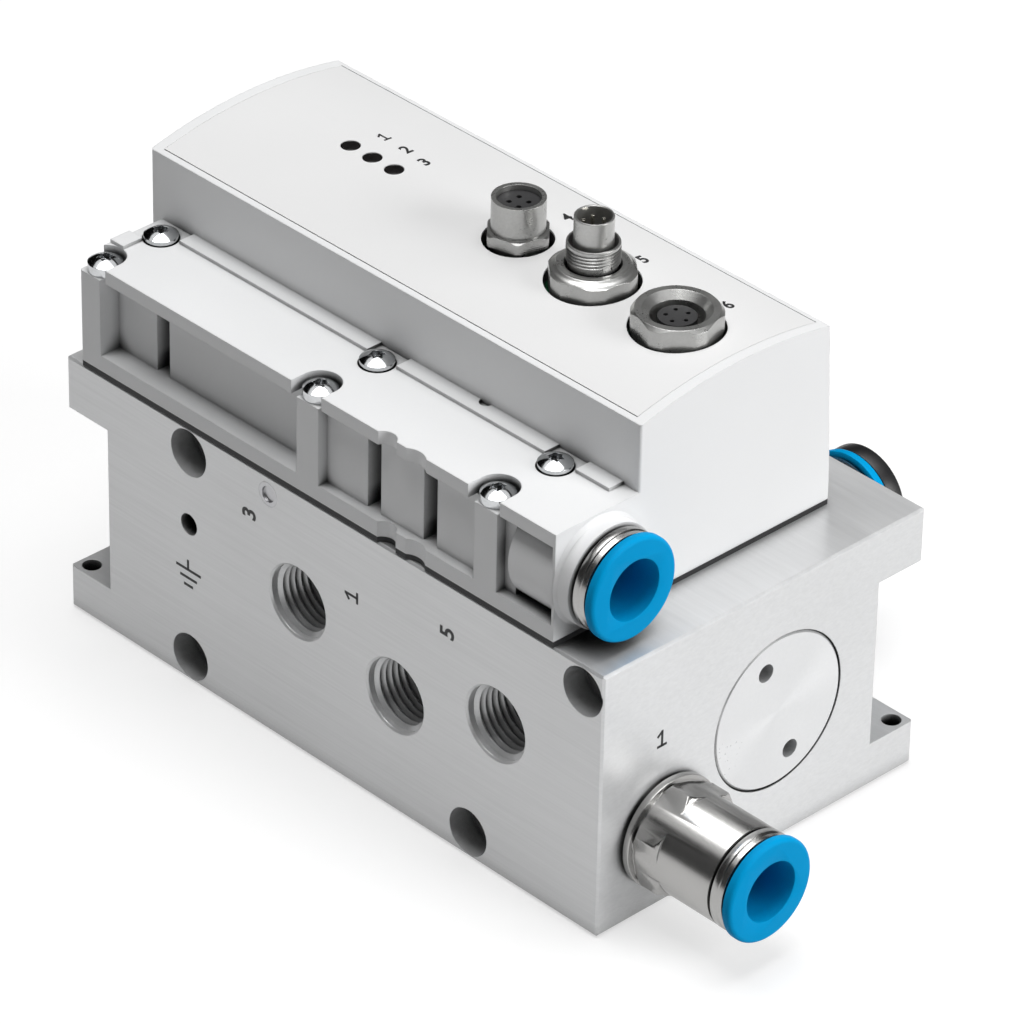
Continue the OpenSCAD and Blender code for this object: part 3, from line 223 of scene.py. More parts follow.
def turned(name, profile, sides=64):
    """A turned piece along Z: a circle drawn out and scaled from each (radius, height) to the next.

    The profile is in mm."""
    only()
    radius, height = profile[0]
    radius = max(radius * MM, POLE)
    bpy.ops.mesh.primitive_circle_add(vertices=sides, radius=radius, location=(0, 0, 0))
    piece = bpy.context.object
    piece.name = name
    edit_all(piece)
    bpy.ops.transform.translate(value=(0, 0, height * MM))
    for next_radius, next_height in profile[1:]:
        next_radius = max(next_radius * MM, POLE)
        bpy.ops.mesh.extrude_edges_move(
            TRANSFORM_OT_translate={"value": (0, 0, (next_height - height) * MM)})
        grow = next_radius / radius
        bpy.ops.transform.resize(value=(grow, grow, 1), center_override=(0, 0, next_height * MM))
        radius, height = next_radius, next_height
    close_up(piece)
    return piece


def thread_ridge(name, radius, depth, pitch, turns, inward=False, steps=56):
    """A thread's ridge from z 0 upwards: a triangle screwed round the axis, apex out or in.

    Radius and depth are in mm, the pitch is in metres."""
    only()
    side = -1 if inward else 1
    span, side_length = 1.5, math.sqrt(3)    # of a triangle on a circle of radius 1
    share = 0.94                             # of the pitch that the ridge's foot takes
    bpy.ops.mesh.primitive_circle_add(
        vertices=3, radius=1, rotation=(math.pi / 2, side * math.pi / 2, 0))
    piece = bpy.context.object
    piece.name = name
    bpy.ops.object.transform_apply(location=True, rotation=True, scale=True)
    edit_all(piece)
    reach = depth * MM / span
    foot = share * pitch / side_length
    bpy.ops.transform.resize(value=(reach, 1, foot), center_override=(0, 0, 0))
    bpy.ops.transform.translate(value=(radius * MM + side * reach / 2, 0, pitch / 2))
    bpy.ops.object.mode_set(mode="OBJECT")
    applied(piece, "SCREW", angle=math.tau, screw_offset=pitch, iterations=turns, steps=steps,
            render_steps=steps, axis="Z", use_smooth_shade=False)
    edit_all(piece)
    bpy.ops.mesh.fill_holes(sides=3)
    close_up(piece)
    smooth(piece, angle=25)
    return piece


def star_cutter(name, outer, inner, depth, lobes=6, round_by=0.2):
    """A closed plug with rounded lobes, from z 0 down, that cuts a driver socket (mm)."""
    only()
    bpy.ops.mesh.primitive_circle_add(
        vertices=2 * lobes, radius=outer * MM, fill_type="NGON", location=(0, 0, 0))
    piece = bpy.context.object
    piece.name = name
    step = math.pi / lobes
    pick(piece, lambda co: round(math.atan2(co.y, co.x) / step) % 2 == 1)
    grow = inner / outer
    bpy.ops.transform.resize(value=(grow, grow, 1), center_override=(0, 0, 0))
    bpy.ops.mesh.select_all(action="SELECT")
    bpy.ops.mesh.bevel(offset=round_by * MM, segments=3, affect="VERTICES")
    bpy.ops.mesh.select_all(action="SELECT")
    bpy.ops.mesh.extrude_region_move(TRANSFORM_OT_translate={"value": (0, 0, -depth * MM)})
    close_up(piece)
    return piece


def bar(name, low, high, round_by=0.08):
    """A flat bar between two corners in mm, with rounded edges."""
    only()
    middle = [(a + b) / 2 * MM for a, b in zip(low, high)]
    size = [b - a for a, b in zip(low, high)]
    bpy.ops.mesh.primitive_cube_add(size=1, location=(0, 0, 0))
    piece = bpy.context.object
    piece.name = name
    edit_all(piece)
    bpy.ops.transform.resize(value=[side * MM for side in size], center_override=(0, 0, 0))
    bpy.ops.transform.translate(value=middle)
    bpy.ops.object.mode_set(mode="OBJECT")
    most = 0.45 * min(size)    # what the thinnest side can give at each of its edges
    rounded(piece, min(round_by, most) * MM)
    return piece


def joined(name, *pieces):
    """Joins pieces into one."""
    only(*pieces)
    if len(pieces) > 1:
        bpy.ops.object.join()
    bpy.context.object.name = name
    return bpy.context.object


# Finishes

def new_node(tree, kind, inputs=None, **values):
    """A shader node with these settings and input values."""
    made = tree.nodes.new(kind)
    for name, value in values.items():
        setattr(made, name, value)
    for name, value in (inputs or {}).items():
        made.inputs[name].default_value = value
    return made


def tone_ramp(tree, source, stops):
    """A colour ramp over a grey source, from (position, colour) stops."""
    ramp = new_node(tree, "ShaderNodeValToRGB")
    edges = ramp.color_ramp.elements
    while len(edges) < len(stops):
        edges.new(0.5)
    for edge, (position, colour) in zip(edges, stops):
        edge.position = position
        edge.color = (*colour, 1)
    tree.links.new(source, ramp.inputs["Fac"])
    return ramp.outputs["Color"]


def shade(colour, amount):
    """A colour made lighter or darker by a share."""
    return tuple(min(1.0, max(0.0, part * amount)) for part in colour)


def painted_hollow_shade(tree, tone, reach):
    """The tone with painted shade where the surface lies in a hollow narrower than reach (mm).

    The open share of the view from a spot decides: up to closed it is darkest, from opened plain."""
    closed, opened, darkest = 0.26, 0.66, 0.02
    # ambient occlusion paints shade into the colour of hollows
    depth = new_node(tree, "ShaderNodeAmbientOcclusion", {"Distance": reach * MM}, samples=8)
    open_share = new_node(tree, "ShaderNodeMapRange", {
        "From Min": closed, "From Max": opened, "To Min": darkest, "To Max": 1.0})
    tree.links.new(depth.outputs["AO"], open_share.inputs["Value"])
    shaded = new_node(tree, "ShaderNodeMix", data_type="RGBA", blend_type="MULTIPLY")
    shaded.inputs["Factor"].default_value = 1.0
    colour_a, colour_b, colour_out = shaded.inputs[6], shaded.inputs[7], shaded.outputs[2]
    tree.links.new(tone, colour_a)
    tree.links.new(open_share.outputs["Result"], colour_b)
    return colour_out


def grained(name, colour, spread=0.06, grain=3000.0, roughness=0.5, uneven=0.06, relief=0.004,
            metallic=0.0, stretch=(1, 1, 1), cloud=60.0, edge=0.15, hollow=0.0, constants=None):
    """A finish with cloudy tone and fine grain in its colour, gloss and relief (mm).

    The light rounds its edges by edge (mm), and hollows narrower than hollow (mm) get painted shade in
    their colour."""
    finish = bpy.data.materials.new(name)
    finish.use_nodes = True
    tree = finish.node_tree
    shader = tree.nodes["Principled BSDF"]
    shader.inputs["Metallic"].default_value = metallic
    for key, value in (constants or {}).items():
        shader.inputs[key].default_value = value
    coords = new_node(tree, "ShaderNodeTexCoord")
    lay = new_node(tree, "ShaderNodeMapping")
    lay.inputs["Scale"].default_value = stretch
    tree.links.new(coords.outputs["Object"], lay.inputs["Vector"])
    fine = new_node(tree, "ShaderNodeTexNoise", {"Scale": grain, "Detail": 3.0, "Roughness": 0.6})
    tree.links.new(lay.outputs["Vector"], fine.inputs["Vector"])
    broad = new_node(tree, "ShaderNodeTexNoise", {"Scale": cloud, "Detail": 2.0})
    tree.links.new(coords.outputs["Object"], broad.inputs["Vector"])
    both = new_node(tree, "ShaderNodeMath", operation="MULTIPLY_ADD")
    both.inputs[1].default_value = 0.5
    tree.links.new(fine.outputs["Fac"], both.inputs[0])
    half = new_node(tree, "ShaderNodeMath", operation="MULTIPLY")
    half.inputs[1].default_value = 0.5
    tree.links.new(broad.outputs["Fac"], half.inputs[0])
    tree.links.new(half.outputs[0], both.inputs[2])
    dark, light = shade(colour, 1 - spread), shade(colour, 1 + spread)
    tone = tone_ramp(tree, both.outputs[0], [(0.32, dark), (0.68, light)])
    # painted shade: the colour is darkened in hollows narrower than hollow (mm)
    if hollow:
        tone = painted_hollow_shade(tree, tone, hollow)
    tree.links.new(tone, shader.inputs["Base Color"])
    gloss = new_node(tree, "ShaderNodeMapRange", {
        "From Min": 0.3, "From Max": 0.7,
        "To Min": max(0.02, roughness - uneven), "To Max": roughness + uneven})
    tree.links.new(both.outputs[0], gloss.inputs["Value"])
    tree.links.new(gloss.outputs["Result"], shader.inputs["Roughness"])
    bump = new_node(tree, "ShaderNodeBump", {"Strength": 1.0, "Distance": relief * MM})
    tree.links.new(fine.outputs["Fac"], bump.inputs["Height"])
    if edge:
        soft = new_node(tree, "ShaderNodeBevel", {"Radius": edge * MM}, samples=4)
        tree.links.new(soft.outputs["Normal"], bump.inputs["Normal"])
    tree.links.new(bump.outputs["Normal"], shader.inputs["Normal"])
    return finish


def lined(finish, direction, pitch, depth, centre=(0, 0, 0), rings=False):
    """Adds fine lines to a finish's relief, straight ones across an axis or rings round it (mm)."""
    tree = finish.node_tree
    shader = tree.nodes["Principled BSDF"]
    coords = new_node(tree, "ShaderNodeTexCoord")
    lay = new_node(tree, "ShaderNodeMapping")
    lay.inputs["Location"].default_value = [-c * MM for c in centre]
    tree.links.new(coords.outputs["Object"], lay.inputs["Vector"])
    waves = new_node(
        tree, "ShaderNodeTexWave",
        {"Scale": WAVE_SCALE / (pitch * MM), "Distortion": 0.0, "Detail": 1.0},
        wave_type="RINGS" if rings else "BANDS")
    if rings:
        waves.rings_direction = direction
    else:
        waves.bands_direction = direction
    tree.links.new(lay.outputs["Vector"], waves.inputs["Vector"])
    bump = new_node(tree, "ShaderNodeBump", {"Strength": 1.0, "Distance": depth * MM})
    tree.links.new(waves.outputs["Fac"], bump.inputs["Height"])
    before = shader.inputs["Normal"].links[0].from_socket
    tree.links.new(before, bump.inputs["Normal"])
    tree.links.new(bump.outputs["Normal"], shader.inputs["Normal"])
    return finish


def make_finishes():
    """Every finish of the valve, by the record's slot names and a few more."""
    s = settings()
    plastic = tuple(s.housing_colour)
    metal = tuple(s.aluminium_colour)
    nickel = tuple(s.nickel_colour)
    connector = tuple(s.connector_colour)
    blue = tuple(s.ring_colour)
    # hollow (mm) sets where each finish gets painted shade: ports, sockets, holes and the cover's corners
    # are darkened in colour
    plating = {"grain": 2500, "roughness": 0.3, "uneven": 0.05, "relief": 0.001, "metallic": 0.85,
               "cloud": 200, "edge": s.metal_edge / MM, "hollow": 0.9}
    made = {
        "grey_plastic": grained("matte_moulded_plastic", plastic, spread=0.02, grain=5000,
                                roughness=0.48, relief=0.003, cloud=40, edge=s.housing_edge / MM,
                                hollow=4),
        "white_sheet": grained("printed_roof_film", tuple(s.sheet_colour), spread=0.012, grain=4000,
                               roughness=0.42, relief=0.0012, cloud=30, edge=0.05),
        "block_aluminium": grained("milled_aluminium", metal, spread=0.07, grain=900, roughness=0.36,
                                   uneven=0.07, relief=0.004, metallic=0.4, stretch=(0.06, 1, 2.2),
                                   cloud=22, edge=s.block_edge / MM, hollow=7),
        "turned_aluminium": grained("turned_aluminium", shade(metal, 1.06), spread=0.03, grain=1500,
                                    roughness=0.32, relief=0.001, metallic=0.5, cloud=60, edge=0,
                                    hollow=3.0, constants={"Anisotropic": 0.7}),
        "nickel_plate": grained("nickel_plating", nickel, spread=0.05, grain=2500, roughness=0.23,
                                uneven=0.04, relief=0.001, metallic=0.95, cloud=120,
                                edge=s.metal_edge / MM, hollow=0.8),
        "connector_metal": grained("connector_plating", connector, spread=0.08, **plating),
        "lined_connector_metal": lined(
            grained("striped_plating", connector, spread=0.1, **plating), "Z", 0.34, 0.012),
        "ringed_connector_metal": lined(
            grained("faced_plating", connector, spread=0.08, **plating), "Z", 0.8, 0.03,
            centre=centre_of("connector_b_nut"), rings=True),
        "zinc_screws": grained("zinc_plating", (0.56, 0.57, 0.58), spread=0.1, grain=2600, roughness=0.13,
                               uneven=0.05, relief=0.002, metallic=1.0, cloud=500, edge=0.1, hollow=0.4),
        "blue_plastic": grained("blue_acetal", blue, spread=0.04, grain=4000, roughness=0.5,
                                relief=0.002, cloud=90, edge=0.12, hollow=7,
                                constants={"Specular IOR Level": 0.04}),
        "black_plastic": grained("black_acetal", (0.012, 0.012, 0.013), spread=0.25, grain=4000,
                                 roughness=0.38, relief=0.003, cloud=90, edge=0.12),
        "dark_insert": grained("dark_insert_plastic", (0.023, 0.023, 0.024), spread=0.2, grain=3500,
                               roughness=0.5, relief=0.003, cloud=150, edge=0.06),
        "smoked_lens": grained("smoked_lens", (0.012, 0.011, 0.011), spread=0.4, grain=1800,
                               roughness=0.16, uneven=0.03, relief=0.0006, cloud=500, edge=0.06,
                               constants={"Coat Weight": 0.3, "Coat Roughness": 0.05}),
        "black_rubber": grained("black_rubber", (0.02, 0.02, 0.021), spread=0.3, grain=2500,
                                roughness=0.7, relief=0.006, cloud=200, edge=0.08),
        "gold_pins": grained("pin_plating", (0.86, 0.83, 0.74), spread=0.05, grain=3000, roughness=0.16,
                             relief=0.001, metallic=1.0, cloud=300, edge=0.08),
        "sleeve_steel": lined(grained("ground_steel", (0.5, 0.5, 0.51), spread=0.05, grain=2000,
                                      roughness=0.2, relief=0.001, metallic=1.0, cloud=100, edge=0.1),
                              "X", 0.25, 0.002),
        "pot_steel": grained("bright_steel", (0.42, 0.42, 0.43), spread=0.08, grain=1500, roughness=0.33,
                             relief=0.003, metallic=1.0, cloud=80, edge=0.15),
        "former_plastic": grained("natural_former_plastic", (0.55, 0.5, 0.4), spread=0.05, grain=2500,
                                  roughness=0.5, relief=0.003, cloud=80, edge=0.12),
        "copper_wire": lined(grained("enamelled_copper", (0.45, 0.15, 0.05), spread=0.12, grain=2500,
                                     roughness=0.25, relief=0.002, metallic=0.9, cloud=200, edge=0.05),
                             "X", 0.3, 0.05),
        "spring_steel": grained("spring_wire", (0.4, 0.4, 0.41), spread=0.1, grain=2500, roughness=0.28,
                                relief=0.002, metallic=1.0, cloud=300, edge=0),
        "green_board": grained("solder_masked_board", (0.012, 0.12, 0.045), spread=0.25, grain=500,
                               roughness=0.35, relief=0.01, cloud=120, edge=0.1),
        "ink": grained("black_print", (0.014, 0.014, 0.015), spread=0.3, grain=5000, roughness=0.55,
                       relief=0.001, cloud=400, edge=0),
    }
    turned_face(made["turned_aluminium"], "X")
    return made


def centre_of(node):
    """Middle of a CAD node's box, in mm."""
    low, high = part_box(node)
    return [(a + b) / 2 / MM for a, b in zip(low, high)]


def turned_face(finish, axis):
    """Stretches a finish's highlights round an axis, as fine turning marks do."""
    tree = finish.node_tree
    round_axis = new_node(tree, "ShaderNodeTangent", direction_type="RADIAL", axis=axis)
    tree.links.new(round_axis.outputs["Tangent"], tree.nodes["Principled BSDF"].inputs["Tangent"])


# Stage: places and sizes in metres, powers in watts

CAMERA_PLACE = (0.66381326, -0.6416446, 0.63484643)
CAMERA_TURN = Matrix(((0.68967516, -0.40503726, 0.60024411),
                      (0.72390823, 0.36566514, -0.58501785),
                      (0.01746568, 0.83799393, 0.54539996)))
LENS = 234.73             # in mm, as the sensor's width is
SENSOR_WIDTH = 36
LAMP_AIM = Vector((0, 0, 0.04))
LAMPS = [                 # name, place, size, power
    ("side_softbox", (1.05, 0.35, 0.42), 0.6, 9.8),
    ("top_softbox", (-0.05, 0.0, 1.1), 0.8, 10.4),
    ("front_fill", (0.1, -1.2, 0.6), 0.8, 0.15),
]
WORLD_LIGHT = 0.09        # what the surroundings give to matt faces
FLOOR_DROP = 0.0002       # how far the floor lies under the valve's foot
FLOOR_TONES = (0.44, 0.46)
FLOOR_GLOW = 0.6          # brings the floor to white where it is seen directly
CURTAIN_RADIUS = 1.6
CURTAIN_FOOT = 0.03
CURTAIN_HEIGHT = 1.9
CURTAIN_TONES = (0.004, 0.009)


class VALVE_OT_stage(bpy.types.Operator):
    """Camera, soft lamps, white surroundings and a pale floor"""
    bl_idname = "valve.stage"
    bl_label = "Stage"

    def execute(self, context):
        only()
        bpy.ops.object.camera_add(location=CAMERA_PLACE, rotation=CAMERA_TURN.to_euler())
        camera = context.object
        camera.data.lens = LENS
        camera.data.sensor_width = SENSOR_WIDTH
        camera.data.clip_start = 0.05
        camera.data.clip_end = 20
        context.scene.camera = camera
        for name, place, size, power in LAMPS:
            aim = (LAMP_AIM - Vector(place)).to_track_quat("-Z", "Y")
            bpy.ops.object.light_add(type="AREA", location=place, rotation=aim.to_euler())
            lamp = context.object
            lamp.name = name
            lamp.data.size = size
            lamp.data.energy = power
        self.surround(context)
        self.lay_floor()
        self.black_curtain()
        return {"FINISHED"}

    def surround(self, context):
        """A dim grey world that the camera, metal and glass see as white."""
        world = bpy.data.worlds.new("studio")
        context.scene.world = world
        world.use_nodes = True
        tree = world.node_tree
        dim = tree.nodes["Background"]
        dim.inputs["Color"].default_value = (1, 1, 1, 1)
        dim.inputs["Strength"].default_value = WORLD_LIGHT
        white = new_node(tree, "ShaderNodeBackground", {"Color": (1, 1, 1, 1), "Strength": 1.0})
        mix = new_node(tree, "ShaderNodeMixShader")
        tree.links.new(seen_directly(tree), mix.inputs["Fac"])
        tree.links.new(dim.outputs[0], mix.inputs[1])
        tree.links.new(white.outputs[0], mix.inputs[2])
        tree.links.new(mix.outputs[0], tree.nodes["World Output"].inputs["Surface"])

    def black_curtain(self):
        """A black cloth round the studio, behind the lamps, which only polished metal shows."""
        bpy.ops.mesh.primitive_circle_add(vertices=64, radius=CURTAIN_RADIUS, location=(0, 0, 0))
        curtain = bpy.context.object
        curtain.name = "black_curtain"
        edit_all(curtain)
        bpy.ops.transform.translate(value=(0, 0, CURTAIN_FOOT))
        bpy.ops.mesh.extrude_edges_move(
            TRANSFORM_OT_translate={"value": (0, 0, CURTAIN_HEIGHT)})
        bpy.ops.object.mode_set(mode="OBJECT")
        cloth = bpy.data.materials.new("black_cloth")
        cloth.use_nodes = True
        tree = cloth.node_tree
        shader = tree.nodes["Principled BSDF"]
        tree.links.new(clouded(tree, 6.0, CURTAIN_TONES), shader.inputs["Base Color"])
        shader.inputs["Specular IOR Level"].default_value = 0.0
        curtain.data.materials.append(cloth)
        curtain.visible_camera = False
        curtain.visible_diffuse = False
        curtain.visible_shadow = False

    def lay_floor(self):
        """A wide disc under the valve, white where it is seen directly, with a soft shadow."""
        bpy.ops.mesh.primitive_circle_add(vertices=96, radius=3, fill_type="NGON", location=(0, 0, 0))
        floor = bpy.context.object
        floor.name = "floor"
        edit_all(floor)
        bpy.ops.transform.translate(value=(0, 0, -FLOOR_DROP))
        bpy.ops.object.mode_set(mode="OBJECT")
        paper = bpy.data.materials.new("pale_floor")
        paper.use_nodes = True
        tree = paper.node_tree
        shader = tree.nodes["Principled BSDF"]
        shader.inputs["Roughness"].default_value = 0.9
        shader.inputs["Specular IOR Level"].default_value = 0.0
        tree.links.new(clouded(tree, 3.0, FLOOR_TONES), shader.inputs["Base Color"])
        glow = new_node(tree, "ShaderNodeEmission", {"Color": (1, 1, 1, 1)})
        lift = new_node(tree, "ShaderNodeMath", operation="MULTIPLY")
        lift.inputs[1].default_value = FLOOR_GLOW
        tree.links.new(seen_directly(tree), lift.inputs[0])
        tree.links.new(lift.outputs[0], glow.inputs["Strength"])
        both = new_node(tree, "ShaderNodeAddShader")
        tree.links.new(shader.outputs[0], both.inputs[0])
        tree.links.new(glow.outputs[0], both.inputs[1])
        tree.links.new(both.outputs[0], tree.nodes["Material Output"].inputs["Surface"])
        floor.data.materials.append(paper)


def clouded(tree, scale, greys):
    """Soft clouds between two greys."""
    coords = new_node(tree, "ShaderNodeTexCoord")
    clouds = new_node(tree, "ShaderNodeTexNoise", {"Scale": scale})
    tree.links.new(coords.outputs["Object"], clouds.inputs["Vector"])
    dark, light = greys
    return tone_ramp(tree, clouds.outputs["Fac"], [(0.3, (dark,) * 3), (0.7, (light,) * 3)])


def seen_directly(tree):
    """1 for camera, glossy and transmission rays."""
    path = new_node(tree, "ShaderNodeLightPath")
    first = new_node(tree, "ShaderNodeMath", operation="MAXIMUM")
    tree.links.new(path.outputs["Is Camera Ray"], first.inputs[0])
    tree.links.new(path.outputs["Is Glossy Ray"], first.inputs[1])
    second = new_node(tree, "ShaderNodeMath", operation="MAXIMUM")
    tree.links.new(first.outputs[0], second.inputs[0])
    tree.links.new(path.outputs["Is Transmission Ray"], second.inputs[1])
    return second.outputs[0]


# Places and sizes of the fine forms, in mm

PORT_THREADS = {          # where each port's thread begins
    "3": (-6.8, -35.4, 28.95), "1": (16.6, -35.4, 22.4), "5": (40.0, -35.4, 28.95)}
PORT_RADIUS = 6.62
PORT_THREAD_DEPTH = 0.8
PORT_THREAD_TURNS = 7
SOCKET_OUTER = 1.5        # radius over the lobes of a screw's driver socket
SOCKET_INNER = 1.0        # radius between them
SOCKET_DEPTH = 1.2
SOCKET_CLEAR = 0.1        # how far the cutter stands out of the head
SCREW_TURN = 17           # degrees from the way one screw ended up turned to the next
PORT_MARKS = (            # figure, x, z
    ("3", -18.35, 40.6), ("1", 6.2, 36.8), ("5", 28.8, 40.8))
END_MARK = ("1", -22.8, 32.4)    # figure, y, z
ROOF_MARKS = (            # figure, x, y
    ("1", -36.3, 9.6), ("2", -30.6, 9.4), ("3", -25.6, 8.9),
    ("4", 2.4, 14.4), ("5", 20.0, 14.2), ("6", 39.0, 14.4))
ROOF_MARK_SIZE = 0.75     # of the height of the numbers beside the ports
FIGURE_SHARE = 0.72       # a figure's height as a share of its font size
FIGURE_WEIGHT = 0.028     # how far its outline is drawn outwards, as a share of its height
EARTH_BARS = (            # left end, right end, height of the middle
    (-36.8, -30.6, 22.05), (-35.8, -31.6, 20.45), (-34.85, -32.6, 18.95))
EARTH_STEM = (-34.06, -33.54, 22.1, 24.0)    # left, right, foot, top
EARTH_HALF = 0.26         # half the width of the earth mark's bars
ROOF_ARC = {              # where the roof's arc has its crown and its front end
    "crown_y": 4.95, "front_y": -18.2, "front_height": 83.2}


class VALVE_OT_inner_parts(bpy.types.Operator):
    """Finishes every CAD node by the record's material slot"""
    bl_idname = "valve.inner_parts"
    bl_label = "Inner parts"

    def execute(self, context):
        for node, slot_name in node_slots().items():
            part = frame["nodes"][node]
            part.data.materials.clear()
            part.data.materials.append(FINISHES[slot_name])
        return {"FINISHED"}


class VALVE_OT_block(bpy.types.Operator):
    """Milled block with deburred edges, its turned end cover and channel plug"""
    bl_idname = "valve.block"
    bl_label = "Block"

    def execute(self, context):
        slots = node_slots()
        names = {"block": "milled_block", "end_cover": "turned_end_cover",
                 "channel_plug": "pressed_plug"}
        for node, name in names.items():
            finish = FINISHES["pot_steel" if node == "channel_plug" else slots[node]]
            hand_over(dressed(node, name), "valve", slots[node], finish, node)
        return {"FINISHED"}


class VALVE_OT_port_threads(bpy.types.Operator):
    """Thread ridges inside the three open ports"""
    bl_idname = "valve.port_threads"
    bl_label = "Port threads"

    def execute(self, context):
        pitch = settings().port_pitch
        for port, place in PORT_THREADS.items():
            ridge = thread_ridge(f"port_{port}_thread", PORT_RADIUS, PORT_THREAD_DEPTH, pitch,
                                 PORT_THREAD_TURNS, inward=True)
            put(ridge, place, BACK)
            hand_over(ridge, "valve", "block_aluminium", FINISHES["block_aluminium"])
        return {"FINISHED"}


class VALVE_OT_cover(bpy.types.Operator):
    """Moulded cover, roof sheet and lenses"""
    bl_idname = "valve.cover"
    bl_label = "Cover"

    def execute(self, context):
        slots = node_slots()
        lens_edge = 0.1 * MM
        for node, name, edge in (("cover_housing", "moulded_cover", 0),
                                 ("roof_sheet", "printed_roof_sheet", 0),
                                 ("light_guides", "light_lenses", lens_edge)):
            piece = dressed(node, name, edge)
            hand_over(piece, "valve", slots[node], FINISHES[slots[node]], node)
        return {"FINISHED"}


class VALVE_OT_screws(bpy.types.Operator):
    """Domed screws with six-lobed driver sockets"""
    bl_idname = "valve.screws"
    bl_label = "Cover screws"

    def execute(self, context):
        edit_all(dressed("housing_screws", "cover_screw"))
        bpy.ops.mesh.separate(type="LOOSE")
        bpy.ops.object.mode_set(mode="OBJECT")
        screws = sorted(context.selected_objects, key=lambda screw: extent(screw)[0])
        for count, screw in enumerate(screws):
            low, high = extent(screw)
            cutter = star_cutter("socket_cutter", SOCKET_OUTER, SOCKET_INNER,
                                 SOCKET_DEPTH + SOCKET_CLEAR)
            place = [(low[0] + high[0]) / 2, (low[1] + high[1]) / 2, high[2] + SOCKET_CLEAR]
            put(cutter, place, turn=SCREW_TURN * count)
            applied(screw, "BOOLEAN", operation="DIFFERENCE", object=cutter, solver="EXACT")
            bpy.data.objects.remove(cutter)
            smooth(screw)
        hand_over(joined("cover_screws", *screws), "valve", "zinc_screws",
                  FINISHES["zinc_screws"], "housing_screws")
        return {"FINISHED"}


class VALVE_OT_connectors(bpy.types.Operator):
    """The three round connectors on the roof"""
    bl_idname = "valve.connectors"
    bl_label = "Connectors"

    def execute(self, context):
        slots = node_slots()
        looks = {"connector_a_shell": "lined_connector_metal",
                 "connector_b_nut": "ringed_connector_metal",
                 "connector_c_shell": "connector_metal"}
        for node in sorted(frame["nodes"]):
            if node.startswith("connector_") and node != "connector_b_shell":
                finish = FINISHES[looks.get(node, slots[node])]
                piece = dressed(node, node + "_finished")
                hand_over(piece, "valve", slots[node], finish, node)
        self.threaded_plug(slots["connector_b_shell"])
        return {"FINISHED"}

    def threaded_plug(self, slot_name):
        """The middle connector: a threaded sleeve round a thin open tube."""
        low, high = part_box("connector_b_shell")
        x, y = (low[0] + high[0]) / 2 / MM, (low[1] + high[1]) / 2 / MM
        foot, tip = low[2] / MM, high[2] / MM
        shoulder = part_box("connector_b_nut")[0][2] / MM
        stem, core, collar, mouth, tube, bore = 6, 4.15, 4.42, 4.0, 3.3, 2.9    # radii
        collar_top = tip - 4.6
        thread_foot = collar_top - 3.8
        well = collar_top - 3
        floor = foot + 3
        tip_bevel = 0.12
        shell = turned("connector_b_sleeve", [
            (0, foot), (stem, foot), (stem, shoulder), (core, shoulder),
            (core, collar_top - 0.75), (collar, collar_top - 0.6), (collar, collar_top - 0.15),
            (4.3, collar_top), (4.05, collar_top), (mouth, collar_top - 0.1), (mouth, well),
            (tube, well), (tube, tip - tip_bevel), (3.2, tip), (bore + tip_bevel, tip),
            (bore, tip - tip_bevel), (bore, floor), (0, floor)])
        smooth(shell, angle=35)
        put(shell, (x, y, 0))
        hand_over(shell, "valve", slot_name, FINISHES["connector_metal"], "connector_b_shell")
        depth, turns, sunk = 0.34, 5, 0.02
        ridge = thread_ridge("connector_b_thread", core - sunk, depth,
                             settings().connector_pitch, turns)
        put(ridge, (x, y, thread_foot))
        hand_over(ridge, "valve", slot_name, FINISHES["connector_metal"])


class VALVE_OT_fittings(bpy.types.Operator):
    """Push-in fittings with their rims, release rings and plugs"""
    bl_idname = "valve.fittings"
    bl_label = "Fittings"

    def execute(self, context):
        edge = settings().metal_edge
        slots = node_slots()
        bodies = {node: body for body, nodes in frame["record"]["behaviour"]["bodies"].items()
                  for node in nodes}
        for node in sorted(frame["nodes"]):
            if node.startswith(("fitting_", "socket_")) and node.endswith(
                    ("_body", "_rim", "_release_ring", "_plug")):
                hand_over(dressed(node, node + "_finished", edge), bodies[node], slots[node],
                          FINISHES[slots[node]], node)
        return {"FINISHED"}


def node_slots():
    """Material slot of each CAD node, from the record."""
    return {part["node"]: part["material_slot"] for part in frame["record"]["subparts"]}


